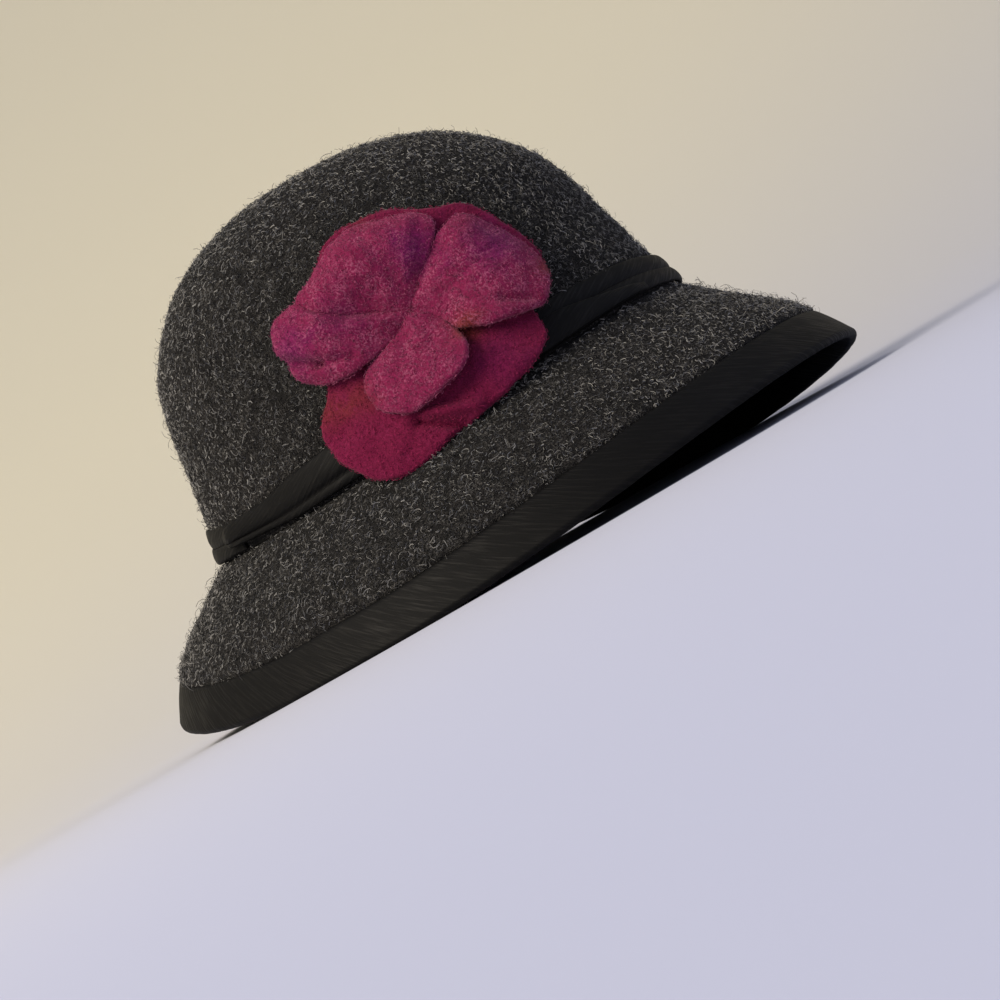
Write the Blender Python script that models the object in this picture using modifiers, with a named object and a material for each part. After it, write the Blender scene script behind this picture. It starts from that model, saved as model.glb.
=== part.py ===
"""A felt cloche hat: domed crown, turned-down brim with a silk binding, pleated silk band, felt flower.

Metres, +Z up. The wearer looks along -Y and the wearer's right is -X, where the flower sits.
The origin is on the surface that the hat rests on, under the middle of the brim's rim.
A bearing is an angle round the hat in degrees, from the front towards the wearer's right.
"""
import math

import bmesh
import bpy
import numpy as np

# Crown, measured on its outside
CROWN_HALF_WIDTH = 0.0861
CROWN_HALF_LENGTH = 0.1030
CROWN_SETBACK = 0.0026
CROWN_TOP = 0.1646
CROWN_LEAN = 0.0080
CROWN_WALL = 0.0026
CROWN_SQUARENESS = 2.16
CROWN_ROUNDNESS = 2.63
CROWN_WAIST = 0.04
CROWN_WAIST_TOP = 0.625

# Crease, where the crown turns into the brim
CREASE_HEIGHT = 0.0531
CREASE_FRONT_RISE = 0.0074
CREASE_BACK_RISE = 0.0034

# Brim: its rim lies on the floor at the two sides and lifts at the front and back
RIM_HALF_WIDTH = 0.1316
RIM_HALF_LENGTH = 0.1474
RIM_FRONT_LIFT = 0.0146
RIM_BACK_LIFT = 0.0174
RIM_PEAR = 0.019
RIM_REST_ANGLE = 10.0
BRIM_WALL = 0.0026
BRIM_BOW_FRONT = 0.0025
BRIM_BOW_SIDE = 0.0055
BRIM_BOW_BACK = 0.0045
BRIM_TURN_DOWN = 0.0010

# Silk binding folded over the rim
BINDING_WIDTH = 0.0165
BINDING_WALL = 0.0010
BINDING_PROUD = 0.0001
FELT_IN_BINDING = 0.0012
SEAM_DITCH = 0.0014

# Pleated silk band round the foot of the crown
BAND_HEIGHT = 0.0160
BAND_FULLNESS = 0.0024
BAND_START = -242.0
BAND_END = 46.0
SIDE_HEIGHT = 0.0155
SIDE_FULLNESS = 0.0026
SIDE_START = 52.0
SIDE_END = 124.0
SIDE_OVERLAP = 14.0
SIDE_CLIMB = 12.0
TAIL_HEIGHT = 0.0105
TAIL_FULLNESS = 0.0018
TAIL_START = 4.0
TAIL_END = 44.0

# Felt flower on the wearer's right front
FLOWER_BEARING = 53.5
FLOWER_RISE = 0.0378
FLOWER_RADIUS = 0.0480
FLOWER_HEART = 0.0060
FLOWER_STAND = 0.0054
BACK_FELT = 0.0022
FRONT_FELT = 0.0022
FRONT_PUFF = 0.0068
PETAL_GAP = 0.0014

CLEARANCE = 0.0003
RING_STEPS = 60
CROWN_STEPS = 13
LAST_CLIMB = 0.99
CLIMB_SAMPLES = 67
BRIM_SAMPLES = 41
SHARP_ANGLE = 40.0
COLLECTION = "cloche_hat"

# Where the brim's section has its points, as shares of its length from the crease to the binding's seam,
# and how the binding's fold turns, in degrees
BRIM_OUTER_SHARES = (0.14, 0.34, 0.56, 0.78, 1.0)
BRIM_INNER_SHARES = (1.0, 0.7, 0.4, 0.14)
FOLD_TURNS = (60.0, 30.0, 0.0, -30.0, -60.0)

# The pleats of a folded band, from its lower edge to its upper edge:
# height as a share of the band's height, fullness as a share of the band's fullness
PLEATS = [
    {"height": 0.00, "fullness": 0.45},
    {"height": 0.10, "fullness": 0.95},
    {"height": 0.30, "fullness": 1.00},
    {"height": 0.40, "fullness": 0.55},
    {"height": 0.52, "fullness": 0.92},
    {"height": 0.72, "fullness": 0.85},
    {"height": 0.80, "fullness": 0.48},
    {"height": 0.92, "fullness": 0.72},
    {"height": 1.00, "fullness": 0.35},
]

# How each strip's lower and upper edge run along it:
# place as a share of its length, edges as shares of its height
BAND_RUN = [
    {"place": 0.00, "low": 0.02, "top": 0.70},
    {"place": 0.10, "low": 0.02, "top": 0.88},
    {"place": 0.45, "low": 0.02, "top": 0.85},
    {"place": 0.80, "low": 0.02, "top": 0.80},
    {"place": 0.93, "low": 0.02, "top": 0.97},
    {"place": 1.00, "low": 0.02, "top": 1.00},
]
SIDE_RUN = [
    {"place": 0.00, "low": 0.12, "top": 1.03},
    {"place": 0.45, "low": 0.06, "top": 1.03},
    {"place": 0.62, "low": 0.03, "top": 0.91},
    {"place": 0.75, "low": 0.10, "top": 0.74},
    {"place": 0.90, "low": 0.15, "top": 0.70},
    {"place": 0.97, "low": 0.20, "top": 0.63},
    {"place": 1.00, "low": 0.28, "top": 0.52},
]
TAIL_RUN = [
    {"place": 0.00, "low": 0.05, "top": 0.28},
    {"place": 0.10, "low": 0.04, "top": 0.38},
    {"place": 0.33, "low": 0.03, "top": 0.60},
    {"place": 0.60, "low": 0.03, "top": 0.95},
    {"place": 1.00, "low": 0.03, "top": 1.05},
]

# The flower's lobes. Aim is degrees round the flower from its edge nearest the hat's front,
# counted upwards; reach is a share of the flower's radius; spread is the half angle of the lobe;
# puff is a share of the front petals' puff; droop is how far the tip falls back, as the same share.
BACK_LOBES = [
    {"aim": -6, "reach": 0.94, "spread": 44, "puff": 0.20, "droop": 0.10},
    {"aim": -52, "reach": 0.94, "spread": 40, "puff": 0.15, "droop": 0.10},
    {"aim": -97, "reach": 1.00, "spread": 34, "puff": 0.25, "droop": 0.00},
    {"aim": -135, "reach": 1.19, "spread": 36, "puff": 0.45, "droop": -0.20},
    {"aim": 150, "reach": 0.70, "spread": 50, "puff": 0.00, "droop": 0.00},
    {"aim": 88, "reach": 0.62, "spread": 50, "puff": 0.00, "droop": 0.00},
    {"aim": 40, "reach": 0.72, "spread": 40, "puff": 0.10, "droop": 0.00},
]
FRONT_LOBES = [
    {"aim": 100, "reach": 0.68, "spread": 50, "puff": 1.00, "droop": 0.55},
    {"aim": -8, "reach": 0.83, "spread": 54, "puff": 0.85, "droop": 0.50},
    {"aim": 160, "reach": 0.84, "spread": 32, "puff": 0.75, "droop": 0.45},
    {"aim": -112, "reach": 0.80, "spread": 50, "puff": 0.70, "droop": 0.10},
]
# How lobes are shaped: how far a lobe's edge falls short of its tip, how sharply, and where it ends,
# the round core's share of the radius, where the flower has risen off the crown, and a petal's arch
LOBE_FALL = 0.42
LOBE_SHARPNESS = 2.4
LOBE_EDGE = 1.25
FLOWER_CORE = 0.45
FLOWER_SHOULDER = 0.62
PETAL_ARCH = 0.62
FLOWER_RINGS = 6
FLOWER_STEPS = 48


def outward(bearing):
    """The level unit direction out of the hat at a bearing."""
    angle = math.radians(bearing)
    return np.array([-math.sin(angle), -math.cos(angle), 0.0])


def front_to_back(bearing, side, front, back):
    """A value that is one number at both sides and others at the front and the back."""
    ahead = math.cos(math.radians(bearing))
    end = front if ahead > 0 else back
    return side + (end - side) * ahead * ahead


def crease_point(bearing):
    """The outside of the crown's foot."""
    out = outward(bearing)
    height = CREASE_HEIGHT + front_to_back(bearing, 0.0, CREASE_FRONT_RISE, CREASE_BACK_RISE)
    return np.array([out[0] * CROWN_HALF_WIDTH, CROWN_SETBACK + out[1] * CROWN_HALF_LENGTH, height])


def crown_at(bearing, climb):
    """The crown's outside at a climb from 0 at the crease to 1 at the top."""
    foot = crease_point(bearing)
    swell = 1.0 - CROWN_WAIST * math.sin(math.pi * min(1.0, climb / CROWN_WAIST_TOP))
    swell *= max(0.0, 1.0 - climb ** CROWN_SQUARENESS) ** (1.0 / CROWN_ROUNDNESS)
    return np.array([
        foot[0] * swell,
        CROWN_SETBACK + (foot[1] - CROWN_SETBACK) * swell + CROWN_LEAN * climb,
        foot[2] * (1.0 - climb) + CROWN_TOP * climb,
    ])


def crown_normal(bearing, climb):
    """The outward normal of the crown."""
    step = 0.01
    low = max(0.0, climb - step)
    high = min(LAST_CLIMB, climb + step)
    up = crown_at(bearing, high) - crown_at(bearing, low)
    across = crown_at(bearing + 1.0, climb) - crown_at(bearing - 1.0, climb)
    normal = np.cross(up, across)
    return normal / np.linalg.norm(normal)


def climb_for(bearing, rise):
    """The climb that lies a given distance along the crown's surface above the crease."""
    climbs = np.linspace(0.0, LAST_CLIMB, CLIMB_SAMPLES)
    points = np.array([crown_at(bearing, climb) for climb in climbs])
    along = np.concatenate([[0.0], np.cumsum(np.linalg.norm(np.diff(points, axis=0), axis=1))])
    return float(np.interp(rise, along, climbs))


def on_crown(bearing, rise, stand):
    """A point that stands off the crown, at a rise along it from the crease."""
    climb = climb_for(bearing, max(0.0, rise))
    point = crown_at(bearing, climb) + crown_normal(bearing, climb) * stand
    point[2] += min(0.0, rise)
    return point


def rim_point(bearing):
    """The rim of the brim, flattened where it rests."""
    out = outward(bearing)
    ahead = math.cos(math.radians(bearing)) ** 2
    rest = math.sin(math.radians(RIM_REST_ANGLE)) ** 2
    lift = RIM_FRONT_LIFT if math.cos(math.radians(bearing)) > 0 else RIM_BACK_LIFT
    return np.array([
        out[0] * RIM_HALF_WIDTH * (1.0 + RIM_PEAR * out[1]),
        out[1] * RIM_HALF_LENGTH,
        lift * max(0.0, ahead - rest) / (1.0 - rest),
    ])


def brim_run(bearing):
    """The brim's outer side from the crease to the rim: points, normals and lengths along it."""
    foot = crease_point(bearing)
    chord = rim_point(bearing) - foot
    level = np.array([chord[0], chord[1], 0.0])
    level /= np.linalg.norm(level)
    slope = chord / np.linalg.norm(chord)
    up = np.array([-level[0] * slope[2], -level[1] * slope[2], np.dot(level, slope)])
    bow = front_to_back(bearing, BRIM_BOW_SIDE, BRIM_BOW_FRONT, BRIM_BOW_BACK)
    points = []
    for share in np.linspace(0.0, 1.0, BRIM_SAMPLES):
        lift = bow * math.sin(math.pi * share) - BRIM_TURN_DOWN * math.sin(2.0 * math.pi * share)
        points.append(foot + chord * share + up * lift)
    points = np.array(points)
    steps = np.gradient(points, axis=0)
    steps /= np.linalg.norm(steps, axis=1, keepdims=True)
    flat = steps[:, 0] * level[0] + steps[:, 1] * level[1]
    normals = np.stack([-level[0] * steps[:, 2], -level[1] * steps[:, 2], flat], axis=1)
    lengths = np.linalg.norm(np.diff(points, axis=0), axis=1)
    return points, normals, np.concatenate([[0.0], np.cumsum(lengths)])


def on_brim(run, along, stand):
    """A point of the brim's section, at a length from the crease and a height over its outer side."""
    points, normals, lengths = run
    place = [np.interp(along, lengths, points[:, axis]) for axis in range(3)]
    normal = np.array([np.interp(along, lengths, normals[:, axis]) for axis in range(3)])
    beyond = max(0.0, along - lengths[-1])
    ahead = (points[-1] - points[-2]) / np.linalg.norm(points[-1] - points[-2])
    return np.array(place) + ahead * beyond + normal / np.linalg.norm(normal) * stand


def brim_section(bearing):
    """The brim's closed section: a level joint under the crown, the felt, and its pressed edge."""
    run = brim_run(bearing)
    length = run[2][-1]
    seam = length - BINDING_WIDTH
    edge = length - BINDING_WALL - CLEARANCE - FELT_IN_BINDING / 2
    sunk = BINDING_PROUD - BINDING_WALL - CLEARANCE
    joint = crease_point(bearing) - np.array([0.0, 0.0, CLEARANCE])
    open_felt = seam - SEAM_DITCH
    outer = [on_brim(run, share * open_felt, 0.0) for share in BRIM_OUTER_SHARES]
    stations = (seam, (seam + edge) / 2, edge)
    pressed = [on_brim(run, along, sunk) for along in stations]
    pressed += [on_brim(run, along, sunk - FELT_IN_BINDING) for along in reversed(stations)]
    inner = [on_brim(run, share * open_felt, -BRIM_WALL) for share in BRIM_INNER_SHARES]
    return [joint] + outer + pressed + inner + [joint - crown_normal(bearing, 0.0) * CROWN_WALL]


def binding_section(bearing):
    """The binding's closed section: two legs and a rounded fold, pressed level on the floor."""
    run = brim_run(bearing)
    length = run[2][-1]
    seam = length - BINDING_WIDTH
    outside = BINDING_PROUD
    hollow = FELT_IN_BINDING + 2 * CLEARANCE
    inside = outside - 2 * BINDING_WALL - hollow
    middle = (outside + inside) / 2
    bend = hollow / 2
    reach = bend + BINDING_WALL
    turns = np.radians(FOLD_TURNS)
    fold = length - reach
    stations = (seam, (seam + fold) / 2, fold)
    section = [on_brim(run, along, outside) for along in stations]
    section += [on_brim(run, fold + reach * math.cos(a), middle + reach * math.sin(a)) for a in turns]
    section += [on_brim(run, along, inside) for along in reversed(stations)]
    section += [on_brim(run, along, middle - bend) for along in stations]
    section += [on_brim(run, fold + bend, middle)]
    section += [on_brim(run, along, middle + bend) for along in reversed(stations)]
    for point in section:
        point[2] = max(point[2], 0.0)
    return section


def read_run(table, place, column):
    """A column of a table of edges, read at a place along the strip."""
    return float(np.interp(place, [row["place"] for row in table], [row[column] for row in table]))


def strip_section(bearing, place, table, height, fullness, stand):
    """A band's closed section: pleats outside, and a smooth back that follows the crown."""
    low = height * read_run(table, place, "low")
    top = height * read_run(table, place, "top")
    outer = []
    for pleat in PLEATS:
        rise = low + (top - low) * pleat["height"]
        outer.append(on_crown(bearing, rise, stand + fullness * pleat["fullness"]))
    inner = [on_crown(bearing, rise, stand) for rise in np.linspace(top, low, 4)]
    return outer + inner


def new_object(name, mesh, material):
    """An object of the hat, in the hat's collection."""
    mesh.shade_smooth()
    mesh.set_sharp_from_angle(angle=math.radians(SHARP_ANGLE))
    mesh.materials.append(material)
    piece = bpy.data.objects.new(name, mesh)
    bpy.data.collections[COLLECTION].objects.link(piece)
    return piece


def loft(name, sections, closed, material):
    """A solid lofted through closed sections, round into itself or between two end faces."""
    build = bmesh.new()
    rows = [[build.verts.new(point) for point in section] for section in sections]
    around = len(rows[0])
    for index in range(len(rows) if closed else len(rows) - 1):
        here = rows[index]
        there = rows[(index + 1) % len(rows)]
        for corner in range(around):
            after = (corner + 1) % around
            build.faces.new([here[corner], here[after], there[after], there[corner]])
    if not closed:
        build.faces.new(rows[0])
        build.faces.new(rows[-1])
    bmesh.ops.recalc_face_normals(build, faces=build.faces)
    mesh = bpy.data.meshes.new(name)
    build.to_mesh(mesh)
    build.free()
    return new_object(name, mesh, material)


def shell(name, rows, pole, wall, material):
    """A felt skin: rings of points closed by one middle point, thickened inwards."""
    build = bmesh.new()
    rings = [[build.verts.new(point) for point in row] for row in rows]
    middle = build.verts.new(pole)
    around = len(rings[0])
    for low, high in zip(rings, rings[1:]):
        for corner in range(around):
            after = (corner + 1) % around
            build.faces.new([low[corner], high[corner], high[after], low[after]])
    for corner in range(around):
        build.faces.new([rings[-1][corner], middle, rings[-1][(corner + 1) % around]])
    mesh = bpy.data.meshes.new(name)
    build.to_mesh(mesh)
    build.free()
    piece = new_object(name, mesh, material)
    thick = piece.modifiers.new("wall", "SOLIDIFY")
    thick.thickness = wall
    thick.offset = -1.0
    thick.use_even_offset = True
    return piece


def cloth(name, colour, roughness):
    """A plain cloth colour for one piece."""
    material = bpy.data.materials.new(name)
    material.use_nodes = True
    shader = material.node_tree.nodes["Principled BSDF"]
    shader.inputs["Base Color"].default_value = (*colour, 1.0)
    shader.inputs["Roughness"].default_value = roughness
    return material


def make_crown(felt):
    """The dome, its rings closer together towards the top."""
    bearings = [360.0 * step / RING_STEPS for step in range(RING_STEPS)]
    climbs = [math.sin(math.pi / 2 * step / CROWN_STEPS) for step in range(CROWN_STEPS)]
    rows = [[crown_at(bearing, climb) for bearing in bearings] for climb in climbs]
    return shell("crown", rows, crown_at(0.0, 1.0), CROWN_WALL, felt)


def make_ring(name, section, material):
    """A solid that goes once round the hat."""
    bearings = [360.0 * step / RING_STEPS for step in range(RING_STEPS)]
    return loft(name, [section(bearing) for bearing in bearings], True, material)


def make_strip(name, start, end, table, height, fullness, stand_at, material):
    """A folded silk strip between two bearings."""
    steps = max(4, round((end - start) * RING_STEPS / 360.0))
    sections = []
    for step in range(steps + 1):
        place = step / steps
        bearing = start + (end - start) * place
        sections.append(strip_section(bearing, place, table, height, fullness, stand_at(bearing)))
    return loft(name, sections, False, material)


def side_stand(bearing):
    """The side strip lies on the crown, then climbs over the end of the band."""
    over = (bearing - (360.0 + BAND_START - SIDE_OVERLAP)) / SIDE_CLIMB
    return CLEARANCE + (BAND_FULLNESS + CLEARANCE) * min(1.0, max(0.0, over))


def lobe_reach(lobes, aim):
    """The flower's outline: the longest lobe at an angle round it."""
    best = FLOWER_CORE
    for lobe in lobes:
        off = abs((aim - lobe["aim"] + 180.0) % 360.0 - 180.0) / lobe["spread"]
        if off < LOBE_EDGE:
            best = max(best, lobe["reach"] * (1.0 - LOBE_FALL * off ** LOBE_SHARPNESS))
    return best * FLOWER_RADIUS


def lobe_height(lobes, aim, share):
    """How far a petal swells between the heart, at 0, and its tip, at 1."""
    total = 0.0
    for lobe in lobes:
        off = abs((aim - lobe["aim"] + 180.0) % 360.0 - 180.0) / lobe["spread"]
        ridge = max(0.0, 1.0 - off * off)
        swell = lobe["puff"] * math.sin(math.pi * min(1.0, share * PETAL_ARCH)) - lobe["droop"] * share ** 3
        total = max(total, ridge * swell) if swell > 0 else total + ridge * swell
    return total * FRONT_PUFF


def smooth_share(value, low, high):
    """0 below low, 1 above high, and an even bend between them."""
    share = min(1.0, max(0.0, (value - low) / (high - low)))
    return share * share * (3.0 - 2.0 * share)


def flower_stand(out):
    """How far the flower's foot stands off the crown at a distance from its heart."""
    risen = smooth_share(out, FLOWER_HEART, FLOWER_SHOULDER * FLOWER_RADIUS)
    return CLEARANCE + BACK_FELT + FLOWER_STAND * risen


def flower_point(out, aim, stand):
    """A point of the flower, laid over the crown round the flower's heart."""
    across = out * math.cos(math.radians(aim))
    rise = FLOWER_RISE + out * math.sin(math.radians(aim))
    climb = climb_for(FLOWER_BEARING, max(0.0, rise))
    centre = np.array([0.0, CROWN_SETBACK, 0.0])
    radius = np.linalg.norm((crown_at(FLOWER_BEARING, climb) - centre)[:2]) + FLOWER_STAND
    return on_crown(FLOWER_BEARING - math.degrees(across / radius), rise, stand)


def petal_stand(layers, aim, out):
    """How far a layer's top stands off the crown, lying on the layers listed before it."""
    stand = flower_stand(out)
    for lobes in layers:
        stand += lobe_height(lobes, aim, min(1.0, out / lobe_reach(lobes, aim)))
    loose = smooth_share(out, FLOWER_HEART, FLOWER_RADIUS / 2)
    return stand + (len(layers) - 1) * (FRONT_FELT + CLEARANCE + PETAL_GAP * loose)


def make_flower_layer(name, layers, wall, felt):
    """One lobed disc of felt, sewn down at its heart, with swelling petals."""
    rows = []
    for ring in range(FLOWER_RINGS):
        share = 1.0 - ring / FLOWER_RINGS
        row = []
        for step in range(FLOWER_STEPS):
            aim = 360.0 * step / FLOWER_STEPS
            out = lobe_reach(layers[-1], aim) * share
            row.append(flower_point(out, aim, petal_stand(layers, aim, out)))
        rows.append(row)
    return shell(name, rows, flower_point(0.0, 0.0, petal_stand(layers, 0.0, 0.0)), wall, felt)


def main():
    for piece in list(bpy.data.objects):
        bpy.data.objects.remove(piece, do_unlink=True)
    bpy.context.scene.collection.children.link(bpy.data.collections.new(COLLECTION))

    wool = cloth("charcoal_wool_felt", (0.030, 0.031, 0.033), 0.95)
    brim_wool = cloth("charcoal_wool_felt_brim", (0.034, 0.035, 0.036), 0.95)
    edge_silk = cloth("black_silk_binding", (0.012, 0.012, 0.013), 0.55)
    band_silk = cloth("black_silk_band", (0.010, 0.010, 0.011), 0.55)
    side_silk = cloth("black_silk_side", (0.014, 0.014, 0.015), 0.55)
    tail_silk = cloth("black_silk_tail", (0.012, 0.012, 0.014), 0.55)
    magenta = cloth("magenta_wool_felt", (0.250, 0.010, 0.080), 0.90)
    rose = cloth("rose_wool_felt", (0.300, 0.030, 0.110), 0.90)

    make_crown(wool)
    make_ring("brim", brim_section, brim_wool)
    make_ring("brim_binding", binding_section, edge_silk)
    over_band = BAND_FULLNESS + 2 * CLEARANCE
    make_strip("band", BAND_START, BAND_END, BAND_RUN, BAND_HEIGHT, BAND_FULLNESS,
               lambda bearing: CLEARANCE, band_silk)
    make_strip("band_side", SIDE_START, SIDE_END, SIDE_RUN, SIDE_HEIGHT, SIDE_FULLNESS,
               side_stand, side_silk)
    make_strip("band_tail", TAIL_START, TAIL_END, TAIL_RUN, TAIL_HEIGHT, TAIL_FULLNESS,
               lambda bearing: over_band, tail_silk)
    make_flower_layer("flower_back", [BACK_LOBES], BACK_FELT, magenta)
    make_flower_layer("flower_front", [BACK_LOBES, FRONT_LOBES], FRONT_FELT, rose)


main()
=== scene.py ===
"""The looks of a felt cloche hat: curly wool felt, slubbed silk band and binding, and a hand-felted flower.

Metres, +Z up. The wearer looks along -Y and the wearer's right is -X, where the flower sits.
A bearing is an angle round the hat in degrees, from the front towards the wearer's right.
"""
import math

import bmesh
import bpy
import numpy as np
from bpy.props import FloatProperty, FloatVectorProperty, IntProperty, PointerProperty
from mathutils import Matrix, Vector, noise


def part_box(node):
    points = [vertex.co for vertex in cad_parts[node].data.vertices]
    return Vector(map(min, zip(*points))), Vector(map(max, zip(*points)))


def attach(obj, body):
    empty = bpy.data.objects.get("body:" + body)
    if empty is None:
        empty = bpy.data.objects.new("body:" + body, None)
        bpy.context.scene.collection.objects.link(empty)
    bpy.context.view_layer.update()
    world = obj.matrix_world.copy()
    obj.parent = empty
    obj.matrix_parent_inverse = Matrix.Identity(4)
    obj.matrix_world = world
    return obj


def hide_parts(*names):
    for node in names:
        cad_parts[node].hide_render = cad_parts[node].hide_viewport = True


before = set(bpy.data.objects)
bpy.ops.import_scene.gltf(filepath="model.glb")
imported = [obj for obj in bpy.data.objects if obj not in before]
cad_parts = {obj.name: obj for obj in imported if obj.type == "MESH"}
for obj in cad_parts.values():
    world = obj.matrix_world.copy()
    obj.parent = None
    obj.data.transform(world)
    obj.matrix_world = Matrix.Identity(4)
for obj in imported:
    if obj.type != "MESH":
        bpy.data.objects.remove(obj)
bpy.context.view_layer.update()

bl_info = {
    "name": "Felt cloche hat",
    "version": (1, 0, 0),
    "blender": (4, 5, 0),
    "location": "View3D > Sidebar > Cloche",
    "description": "Dresses the felt cloche hat in felt, silk and wool fibres",
    "category": "Object",
}

MM = 0.001

# Crown, worked out from the frame's own crown
CROWN_LOW, CROWN_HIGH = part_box("crown")
CROWN_HALF_WIDTH = (CROWN_HIGH.x - CROWN_LOW.x) / 2
CROWN_HALF_LENGTH = (CROWN_HIGH.y - CROWN_LOW.y) / 2
CROWN_SETBACK = (CROWN_HIGH.y + CROWN_LOW.y) / 2
CROWN_TOP = CROWN_HIGH.z
CROWN_LEAN = 8.0 * MM
FELT_WALL = 2.6 * MM
CROWN_SQUARENESS = 2.16
CROWN_ROUNDNESS = 2.63
CROWN_WAIST = 0.04
CROWN_WAIST_TOP = 0.625
LAST_CLIMB = 0.99
CLIMB_SAMPLES = 67

# Crease, where the crown turns into the brim
CREASE_HEIGHT = 53.1 * MM
CREASE_FRONT_RISE = 7.4 * MM
CREASE_BACK_RISE = 3.4 * MM

# Brim and the silk binding folded over its rim
RIM_HALF_WIDTH = 131.6 * MM
RIM_HALF_LENGTH = 147.4 * MM
RIM_FRONT_LIFT = 14.6 * MM
RIM_BACK_LIFT = 17.4 * MM
RIM_PEAR = 0.019
RIM_REST_ANGLE = 10.0
BRIM_BOW_FRONT = 2.5 * MM
BRIM_BOW_SIDE = 5.5 * MM
BRIM_BOW_BACK = 4.5 * MM
BRIM_TURN_DOWN = 1.0 * MM
BRIM_SAMPLES = 41
BINDING_WIDTH = 16.5 * MM
BINDING_WALL = 1.0 * MM
BINDING_PROUD = 0.1 * MM
FELT_IN_BINDING = 1.2 * MM
SEAM_DITCH = 1.4 * MM
DITCH_MIDDLE = 0.55
UNDER_PRESS = (0.5 * MM, 0.1 * MM)
CLEARANCE = 0.3 * MM

# Where the side strip climbs over the band's end, in degrees
SIDE_OVERLAP = 14.0
SIDE_CLIMB = 12.0

# Felt flower on the wearer's right front
FLOWER_BEARING = 53.5
FLOWER_RISE = 37.8 * MM
FLOWER_RADIUS = 48.0 * MM
FLOWER_HEART = 6.0 * MM
FLOWER_STAND = 5.4 * MM
FLOWER_SHOULDER = 0.62
FLOWER_FELT = 2.2 * MM


def as_rows(columns, *values):
    """A table's rows, with each value under its column's name."""
    return [dict(zip(columns.split(), row)) for row in values]


# Silk strips: bearings in degrees, height and fullness in millimetres. The run has the edges as shares
# of the height, at places along the strip. The tucks are the silk's way through its folds from the
# lower edge to the upper one, as shares of the height and of the fullness.
STRIPS = {
    "band_silk": {
        "node": "band", "start": -242.0, "end": 46.0, "height": 16.0, "fullness": 2.4,
        "run": as_rows(
            "place low top",
            (0.0, 0.02, 0.7), (0.1, 0.02, 0.88), (0.45, 0.02, 0.85), (0.8, 0.02, 0.8),
            (0.93, 0.02, 0.97), (1.0, 0.02, 1.0),
        ),
        "tucks": as_rows(
            "height fullness",
            (0.07, 0.06), (0.0, 0.3), (0.05, 0.76), (0.2, 0.96), (0.36, 0.92), (0.47, 0.72),
            (0.44, 0.52), (0.37, 0.42), (0.42, 0.3), (0.53, 0.62), (0.66, 0.84), (0.8, 0.8),
            (0.93, 0.66), (1.0, 0.4), (0.97, 0.06),
        ),
    },
    "band_side_silk": {
        "node": "band_side", "start": 52.0, "end": 124.0, "height": 15.5, "fullness": 2.6,
        "run": as_rows(
            "place low top",
            (0.0, 0.12, 1.03), (0.45, 0.06, 1.03), (0.62, 0.03, 0.91), (0.75, 0.1, 0.74),
            (0.9, 0.15, 0.7), (0.97, 0.2, 0.63), (1.0, 0.28, 0.52),
        ),
        "tucks": as_rows(
            "height fullness",
            (0.12, 0.06), (0.0, 0.24), (0.03, 0.62), (0.12, 0.8), (0.22, 0.64), (0.2, 0.44), (0.26, 0.4),
            (0.36, 0.8), (0.52, 1.0), (0.72, 0.94), (0.9, 0.78), (1.0, 0.46), (0.97, 0.06),
        ),
    },
    "band_tail_silk": {
        "node": "band_tail", "start": 4.0, "end": 44.0, "height": 10.5, "fullness": 1.8,
        "run": as_rows(
            "place low top",
            (0.0, 0.05, 0.28), (0.1, 0.04, 0.38), (0.33, 0.03, 0.6), (0.6, 0.03, 0.95),
            (1.0, 0.03, 1.05),
        ),
        "tucks": as_rows(
            "height fullness",
            (0.12, 0.04), (0.0, 0.2), (0.02, 0.6), (0.18, 0.9), (0.45, 1.0), (0.75, 0.92), (0.95, 0.66),
            (1.0, 0.3), (0.9, 0.04),
        ),
    },
}

# Outlines of the flower's felt. Aim is degrees round the heart from the edge nearest the hat's front,
# counted upwards; reach, lift and roll are millimetres: how far out the edge lies, how high its middle
# stands over the felt below, and half the thickness of its rounded edge. A petal's own aim and reach
# are its middle, and puff is how far that swells over the back felt. Folds are pressed into the felt
# from one point to another, with width and depth in millimetres, and a ridge has a negative depth.
BACK_OUTLINE = as_rows(
    "aim reach lift roll",
    (94, 36.8, 0.6, 1.1), (67, 35.3, 0.6, 1.1), (48, 34.9, 1.0, 1.1), (29, 40.8, 0.8, 1.1),
    (8, 43.6, 0.8, 1.1), (-8, 47.4, 0.7, 1.1), (-22, 46.6, 0.0, 1.1), (-34, 41.0, 0.0, 1.1),
    (-46, 46.5, 0.6, 1.2), (-60, 45.5, 0.8, 1.2), (-76, 43.5, 0.6, 1.2), (-91, 43.6, 0.0, 1.2),
    (-102, 45.0, 0.6, 1.3), (-112, 50.0, 1.6, 1.3), (-122, 55.6, 2.4, 1.3), (-133, 57.4, 2.6, 1.3),
    (-146, 54.5, 2.0, 1.3), (-158, 48.0, 1.0, 1.2), (-168, 37.0, 0.0, 1.1), (178, 33.0, 0.0, 1.1),
    (155, 34.0, 0.0, 1.1), (130, 34.0, 0.4, 1.1), (112, 35.9, 0.6, 1.1),
)
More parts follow.
